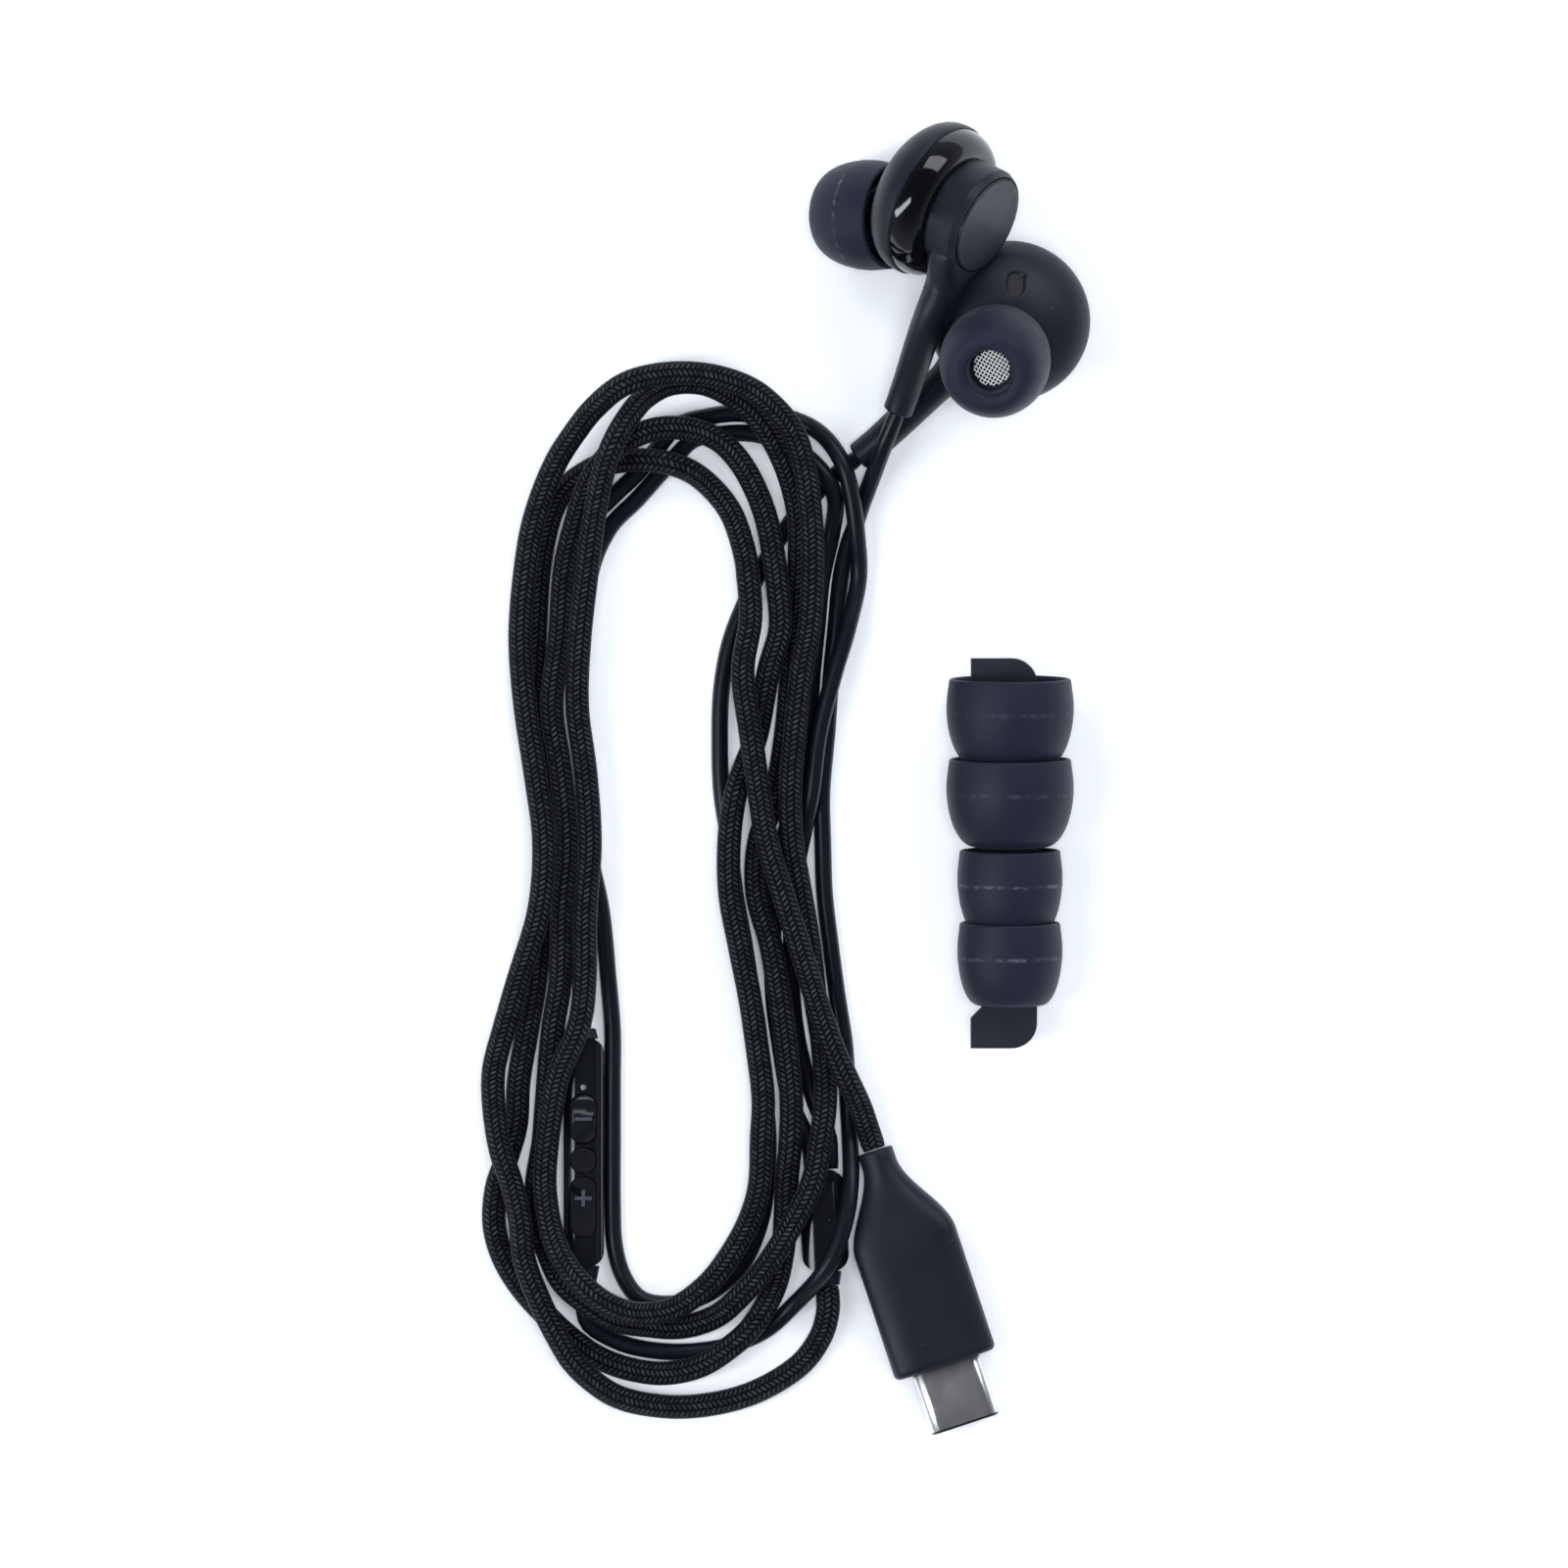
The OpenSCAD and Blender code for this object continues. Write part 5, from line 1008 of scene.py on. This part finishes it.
def make_plug_boot(m):
    """The plug's boot: squared rings that swell from the neck by 3t^2 - 2t^3, with a rounded front edge
    and a recess round the shell. Its numbers are in millimetres until the end."""
    length, width, height, neck = 26.5, 12.4, 6.2, 4.2
    front_edge, corner = 0.7, 0.48
    sections = [
        (0.0, squared_ring(neck - 0.5, neck - 0.5, 1, 72)),
        (0.08, squared_ring(neck - 0.15, neck - 0.15, 1, 72)),
    ]
    for y in np.r_[0.25, np.linspace(1.0, 12.5, 48), np.linspace(13.5, length - 1.0, 12)]:
        swell = float(smooth_step((y - 1.5) / 10))
        w, h = neck + (width - neck) * swell, neck + (height - neck) * swell
        sections.append((y, squared_ring(w, h, 1 - (1 - corner) * swell, 72)))
    for a in np.linspace(0, math.pi / 2, 8):
        inset = front_edge * (1 - math.cos(a))
        ring = squared_ring(width - 2 * inset, height - 2 * inset, corner, 72)
        sections.append((length - front_edge + front_edge * math.sin(a), ring))
    sections += [(length, squared_ring(8.6, 2.75, 0.4, 72)), (length - 0.4, squared_ring(8.5, 2.65, 0.4, 72))]
    rings = strung([(y * MM, ring * MM) for y, ring in sections], m)
    make_piece(
        "plug_moulded_boot", [(rings, True, None)], "earphones",
        MATERIALS["plug"], ("plug_boot",), sharp=45,
    )


def make_plug_shell(m):
    """The plug's shell: a flat-sided bar with a rolled lip and a hollow mouth, in millimetres until the
    end. The lip is the darker second material."""
    w, h, start, end, wall, lip = 8.25, 2.4, 23.5, 33.9, 0.3, 0.28
    sections = [(start, stadium_ring(w - 0.02, h - 0.02, 96)), (start + 0.01, stadium_ring(w, h, 96))]
    for a in np.linspace(0, math.pi, 12):
        inset = lip * (1 - math.cos(a))
        sections.append((end - lip + lip * math.sin(a), stadium_ring(w - 2 * inset, h - 2 * inset, 96)))
    sections += [(start + 0.3, stadium_ring(w - 2 * wall, h - 2 * wall, 96))]
    rings = strung([(y * MM, ring * MM) for y, ring in sections], m)
    piece = make_piece(
        "plug_shell_formed", [(rings, True, None)], "earphones",
        MATERIALS["steel"], ("plug_shell",), sharp=50,
    )
    rolled = moved(face_centres(piece), np.linalg.inv(m))[:, 1] > (end - lip) * MM
    add_second_material(piece, MATERIALS["dark_ring"], rolled)


def make_plug():
    """The plug's boot and shell. Y runs from the cord to the shell's mouth."""
    m = shift(*PLUG_AT) @ turn("z", PLUG_TURN)
    make_plug_boot(m)
    make_plug_shell(m)


# ---- Carried-over parts ----
def set_finish(node, material):
    """A better material on a frame node that keeps its shape."""
    piece = frame["nodes"][node]
    piece.data.materials.clear()
    piece.data.materials.append(MATERIALS[material])


def make_shells(sizes):
    """The buds' shells, barrels, rings and caps, merged; the barrels and caps are given fine rounded edges.
    """
    for side in BUDS:
        for part, material, slot, rounding in (
            ("front_shell", "matte_shell", "matte_shell", 0.0),
            ("rear_shell", "gloss_shell", "gloss_shell", 0.0),
            ("barrel", "matte_shell", "matte_shell", sizes.edge_rounding),
            ("cap_ring", "dark_ring", "dark_ring", 0.0),
            ("cap", "cap_face", "matte_shell", sizes.edge_rounding),
        ):
            merged_copy(side + "_" + part, MATERIALS[material], rounding)


def make_inner_parts():
    """Steel, nickel, copper, film and board finishes on the sealed pieces."""
    for side in BUDS:
        set_finish(side + "_driver_frame", "steel")
        set_finish(side + "_magnet", "nickel")
        set_finish(side + "_diaphragm", "film")
        set_finish(side + "_voice_coil", side + "_coil")
    for node, material, slot in (
        ("remote_circuit_board", "board", "board_green"), ("plug_circuit_board", "board", "board_green"),
        ("remote_switches", "nickel", "driver_steel"),
        ("remote_microphone", "bright_steel", "microphone_gold"),
        ("plug_contacts", "gold", "microphone_gold"), ("plug_latches", "steel", "plug_steel"),
        ("plug_insulator", "black", "black_insulator"), ("plug_audio_chip", "black", "black_insulator"),
        ("plug_crimp", "nickel", "plug_steel"), ("splitter_crimp", "nickel", "plug_steel"),
    ):
        set_finish(node, material)


def make_remote(sizes):
    """The remote's two covers, its sleeves and its three buttons, whose raised marks are a paler grey."""
    for node in ("remote_front_cover", "remote_back_cover"):
        merged_copy(node, MATERIALS["remote"], sizes.edge_rounding)
    for node in ("remote_top_sleeve", "remote_bottom_sleeve"):
        merged_copy(node, MATERIALS["boot"], sizes.edge_rounding)
    for node in ("volume_up_button", "play_button", "volume_down_button"):
        piece = merged_copy(node, MATERIALS["button"], 0.0)
        if node == "play_button":
            continue
        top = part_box(node)[1][2]
        add_second_material(piece, MATERIALS["mark"], face_centres(piece)[:, 2] > top - 0.02 * MM)


def make_splitter(sizes):
    """The splitter's two halves and the boot that the braided cord comes out of."""
    for node in ("splitter_front", "splitter_back"):
        merged_copy(node, MATERIALS["remote"], sizes.edge_rounding)
    merged_copy("splitter_boot", MATERIALS["boot"], sizes.edge_rounding)


def make_card():
    """The flat card that the spare tips are threaded on."""
    merged_copy("tip_card", MATERIALS["card"], 0.1 * MM)


# ---- Stage ----
def make_stage(look):
    """A pale floor, a studio sky that is bright low down and dim overhead, lamps and the camera."""
    scene = bpy.context.scene
    scene.view_settings.view_transform = "Standard"
    mesh = bpy.data.meshes.new("floor")
    r, under = 4.0, -2e-5
    mesh.from_pydata([(-r, -r, under), (r, -r, under), (r, r, under), (-r, r, under)], [], [(0, 1, 2, 3)])
    floor = bpy.data.objects.new("floor", mesh)
    scene.collection.objects.link(floor)
    material = bpy.data.materials.new("pale floor")
    material.use_nodes = True
    tree = material.node_tree
    shader = tree.nodes["Principled BSDF"]
    shader.inputs["Base Color"].default_value = look.floor_colour[:] + (1.0,)
    shader.inputs["Roughness"].default_value = 0.9
    shader.inputs["Specular IOR Level"].default_value = 0.05
    glow = tree.nodes.new("ShaderNodeEmission")
    glow.inputs["Color"].default_value = (0.88, 0.93, 1.0, 1.0)
    glow.inputs["Strength"].default_value = look.floor_glow
    path = tree.nodes.new("ShaderNodeLightPath")
    seen = maths(tree, "MAXIMUM", path.outputs["Is Camera Ray"], path.outputs["Is Glossy Ray"])
    seen = maths(tree, "MAXIMUM", seen, path.outputs["Is Transmission Ray"])
    both = tree.nodes.new("ShaderNodeAddShader")
    tree.links.new(shader.outputs[0], both.inputs[0])
    tree.links.new(glow.outputs[0], both.inputs[1])
    choose = tree.nodes.new("ShaderNodeMixShader")
    tree.links.new(seen, choose.inputs[0])
    tree.links.new(shader.outputs[0], choose.inputs[1])
    tree.links.new(both.outputs[0], choose.inputs[2])
    tree.links.new(choose.outputs[0], tree.nodes["Material Output"].inputs["Surface"])
    mesh.materials.append(material)

    world = bpy.data.worlds.new("studio")
    world.use_nodes = True
    scene.world = world
    tree = world.node_tree
    sky = tree.nodes["Background"]
    split = tree.nodes.new("ShaderNodeSeparateXYZ")
    tree.links.new(tree.nodes.new("ShaderNodeTexCoord").outputs["Generated"], split.inputs[0])
    height = ranged(tree, split.outputs[2], 0.0, 0.8, look.horizon_light, look.overhead_light)
    tree.links.new(height, sky.inputs["Strength"])
    sky.inputs["Color"].default_value = (0.92, 0.95, 1.0, 1.0)

    # The fills light the paper and the matte parts, and leave no bright patch on the gloss ones
    for name, place, size, power, mirrored in (
        ("key", (0.3, 0.56, 0.6), (0.9, 0.34), look.key_power, True),
        ("window", (-0.48, -0.16, 0.56), (0.14, 0.6), look.key_power * 0.8, True),
        ("left_fill", (-0.42, 0.45, 0.6), (0.4, 0.4), look.key_power * 0.6, False),
        ("right_fill", (0.55, -0.3, 0.6), (0.4, 0.4), look.key_power * 0.7, False),
        ("top_fill", (0.05, -0.05, 1.2), (0.3, 0.3), look.key_power * 1.5, False),
    ):
        data = bpy.data.lights.new(name, "AREA")
        data.shape, data.size, data.size_y, data.energy = "RECTANGLE", size[0], size[1], power
        data.color = (0.92, 0.955, 1.0)
        lamp = bpy.data.objects.new(name, data)
        lamp.location = place
        lamp.visible_glossy = mirrored
        lamp.rotation_euler = (-Vector(place)).to_track_quat("-Z", "Y").to_euler()
        scene.collection.objects.link(lamp)

    data = bpy.data.cameras.new("overhead")
    distance, across = look.camera_height, look.frame_width
    data.sensor_width = 36
    data.lens = data.sensor_width * distance / across
    data.clip_start, data.clip_end = 0.05, 20
    camera = bpy.data.objects.new("overhead", data)
    camera.location = (look.frame_centre[0], look.frame_centre[1], distance + 0.003)
    scene.collection.objects.link(camera)
    scene.camera = camera


# ---- Add-on ----
def length(name, description, default, least=0.0):
    """A size in metres for the panel."""
    return bpy.props.FloatProperty(
        name=name, description=description, default=default, min=least, unit="LENGTH", precision=5
    )


def tint(name, description, default):
    """A colour for the panel."""
    return bpy.props.FloatVectorProperty(
        name=name, description=description, default=default, size=3, subtype="COLOR", min=0.0, max=1.0
    )


def share(name, description, default, most):
    """A plain amount from nothing to its most."""
    return bpy.props.FloatProperty(name=name, description=description, default=default, min=0.0, max=most)


class EarphoneSizes(bpy.types.PropertyGroup):
    """Sizes that a maker would change"""

    ring_spacing: length("Ring spacing", "Distance between the braided cord's rings", 0.0007, 0.0003)
    braid_columns: bpy.props.IntProperty(
        name="Braid columns", description="Columns of stitches round the braided cord",
        default=10, min=6, max=20,
    )
    braid_relief: share("Braid relief", "How far the columns stand proud, over the radius", 0.035, 0.1)
    tip_wall: length("Tip wall", "Thickness of an ear tip's dome", 0.0007, 0.0004)
    parting_height: length("Parting height", "Height of the mould's line above a tip's skirt", 0.0041, 0.001)
    tip_sides: bpy.props.IntProperty(
        name="Tip sides", description="Steps round an ear tip", default=96, min=24, max=192
    )
    mesh_pitch: length("Mesh pitch", "Distance between the woven wires", 0.00042, 0.0002)
    edge_rounding: length("Edge rounding", "Width of the rounding on moulded edges", 0.00012)


class EarphoneLook(bpy.types.PropertyGroup):
    """Colours, light and the camera"""

    shell_colour: tint("Shell colour", "Matte shells, boots and smooth cords", (0.0068, 0.0092, 0.0155))
    silicone_colour: tint("Silicone colour", "Fitted and spare ear tips", (0.0115, 0.014, 0.0275))
    cord_colour: tint("Braid colour", "Ground of the braided cord", (0.002, 0.0028, 0.0045))
    # Colour on each stitch's crown: a painted highlight on the threads.
    stitch_highlight_colour: tint("Thread colour", "Palest stitches of the braid", (0.05, 0.055, 0.066))
    plug_colour: tint("Plug colour", "Moulded boot of the plug", (0.0075, 0.0095, 0.016))
    floor_colour: tint("Floor colour", "Paper that the earphones lie on", (0.93, 0.94, 0.96))
    floor_glow: share("Floor glow", "How much the floor is whitened where it is seen", 0.16, 1.0)
    horizon_light: share("Horizon light", "Strength of the sky low down", 0.45, 2.0)
    overhead_light: share("Overhead light", "Strength of the sky overhead", 0.06, 2.0)
    key_power: bpy.props.FloatProperty(
        name="Key power", description="Power of the main lamp", default=3.2, min=0.0, unit="POWER"
    )
    camera_height: length("Camera height", "Distance from the camera to the set", 2.0, 0.3)
    frame_width: length("Frame width", "Width that the camera takes in", 0.184, 0.05)
    frame_centre: bpy.props.FloatVectorProperty(
        name="Frame centre", description="Where the camera looks on the table",
        default=(-0.01966, -0.02312), size=2, unit="LENGTH", precision=5,
    )


class EARPHONES_OT_finishes(bpy.types.Operator):
    """Makes every procedural finish from the colours set in the panel"""

    bl_idname = "earphones.finishes"
    bl_label = "Finishes"

    def execute(self, context):
        make_materials(context.scene.earphone_look)
        return {"FINISHED"}


class EARPHONES_OT_stage(bpy.types.Operator):
    """Floor, sky, lamps and the overhead camera"""

    bl_idname = "earphones.stage"
    bl_label = "Stage"

    def execute(self, context):
        make_stage(context.scene.earphone_look)
        return {"FINISHED"}


class EARPHONES_OT_cords(bpy.types.Operator):
    """The braided cord, the two halves of the right bud's cord and the left bud's cord"""

    bl_idname = "earphones.cords"
    bl_label = "Cords"

    def execute(self, context):
        make_cords(context.scene.earphone_sizes)
        return {"FINISHED"}


class EARPHONES_OT_fitted_tips(bpy.types.Operator):
    """The two silicone tips on the sound tubes"""

    bl_idname = "earphones.fitted_tips"
    bl_label = "Fitted ear tips"

    def execute(self, context):
        make_fitted_tips(context.scene.earphone_sizes)
        return {"FINISHED"}


class EARPHONES_OT_spare_tips(bpy.types.Operator):
    """The four silicone tips threaded on the card"""

    bl_idname = "earphones.spare_tips"
    bl_label = "Spare ear tips"

    def execute(self, context):
        make_spare_tips(context.scene.earphone_sizes)
        return {"FINISHED"}


class EARPHONES_OT_card(bpy.types.Operator):
    """The flat card that holds the spare tips"""

    bl_idname = "earphones.card"
    bl_label = "Tip card"

    def execute(self, context):
        make_card()
        return {"FINISHED"}


class EARPHONES_OT_bend_reliefs(bpy.types.Operator):
    """The swells at the stems and the tapered boots below them"""

    bl_idname = "earphones.bend_reliefs"
    bl_label = "Bend reliefs"

    def execute(self, context):
        make_stem_boots()
        make_stem_fairings()
        return {"FINISHED"}


class EARPHONES_OT_meshes(bpy.types.Operator):
    """Woven wire in the sound tubes and the vents"""

    bl_idname = "earphones.meshes"
    bl_label = "Steel meshes"

    def execute(self, context):
        make_meshes(context.scene.earphone_sizes)
        return {"FINISHED"}


class EARPHONES_OT_shells(bpy.types.Operator):
    """Front and rear shells, barrels, trim rings and caps"""

    bl_idname = "earphones.shells"
    bl_label = "Bud shells"

    def execute(self, context):
        make_shells(context.scene.earphone_sizes)
        return {"FINISHED"}


class EARPHONES_OT_inner_parts(bpy.types.Operator):
    """Drivers, boards, contacts and crimps inside the shells"""

    bl_idname = "earphones.inner_parts"
    bl_label = "Inner parts"

    def execute(self, context):
        make_inner_parts()
        return {"FINISHED"}


class EARPHONES_OT_remote(bpy.types.Operator):
    """The remote's covers, sleeves and three buttons"""

    bl_idname = "earphones.remote"
    bl_label = "Remote"

    def execute(self, context):
        make_remote(context.scene.earphone_sizes)
        return {"FINISHED"}


class EARPHONES_OT_splitter(bpy.types.Operator):
    """The splitter's halves and its boot"""

    bl_idname = "earphones.splitter"
    bl_label = "Splitter"

    def execute(self, context):
        make_splitter(context.scene.earphone_sizes)
        return {"FINISHED"}


class EARPHONES_OT_plug(bpy.types.Operator):
    """The plug's moulded boot and its formed steel shell"""

    bl_idname = "earphones.plug"
    bl_label = "Plug"

    def execute(self, context):
        make_plug()
        return {"FINISHED"}


STEPS = (
    EARPHONES_OT_finishes,
    EARPHONES_OT_stage,
    EARPHONES_OT_cords,
    EARPHONES_OT_fitted_tips,
    EARPHONES_OT_spare_tips,
    EARPHONES_OT_card,
    EARPHONES_OT_bend_reliefs,
    EARPHONES_OT_meshes,
    EARPHONES_OT_shells,
    EARPHONES_OT_inner_parts,
    EARPHONES_OT_remote,
    EARPHONES_OT_splitter,
    EARPHONES_OT_plug,
)


class EARPHONES_PT_panel(bpy.types.Panel):
    """Sizes and colours of the earphones, and a button for each piece"""

    bl_idname = "EARPHONES_PT_panel"
    bl_label = "Wired Earphones"
    bl_space_type = "VIEW_3D"
    bl_region_type = "UI"
    bl_category = "Earphones"

    def draw(self, context):
        scene = context.scene
        for title, settings in (("Sizes", scene.earphone_sizes), ("Look", scene.earphone_look)):
            box = self.layout.box()
            box.label(text=title)
            for setting in settings.__annotations__:
                box.prop(settings, setting)
        column = self.layout.column(align=True)
        for step in STEPS:
            column.operator(step.bl_idname)


CLASSES = (EarphoneSizes, EarphoneLook, *STEPS, EARPHONES_PT_panel)


def register():
    for cls in CLASSES:
        bpy.utils.register_class(cls)
    bpy.types.Scene.earphone_sizes = bpy.props.PointerProperty(type=EarphoneSizes)
    bpy.types.Scene.earphone_look = bpy.props.PointerProperty(type=EarphoneLook)


def unregister():
    del bpy.types.Scene.earphone_look, bpy.types.Scene.earphone_sizes
    for cls in reversed(CLASSES):
        bpy.utils.unregister_class(cls)


def main():
    register()
    for step in STEPS:
        getattr(bpy.ops.earphones, step.bl_idname.split(".")[1])()


if __name__ == "__main__":
    main()
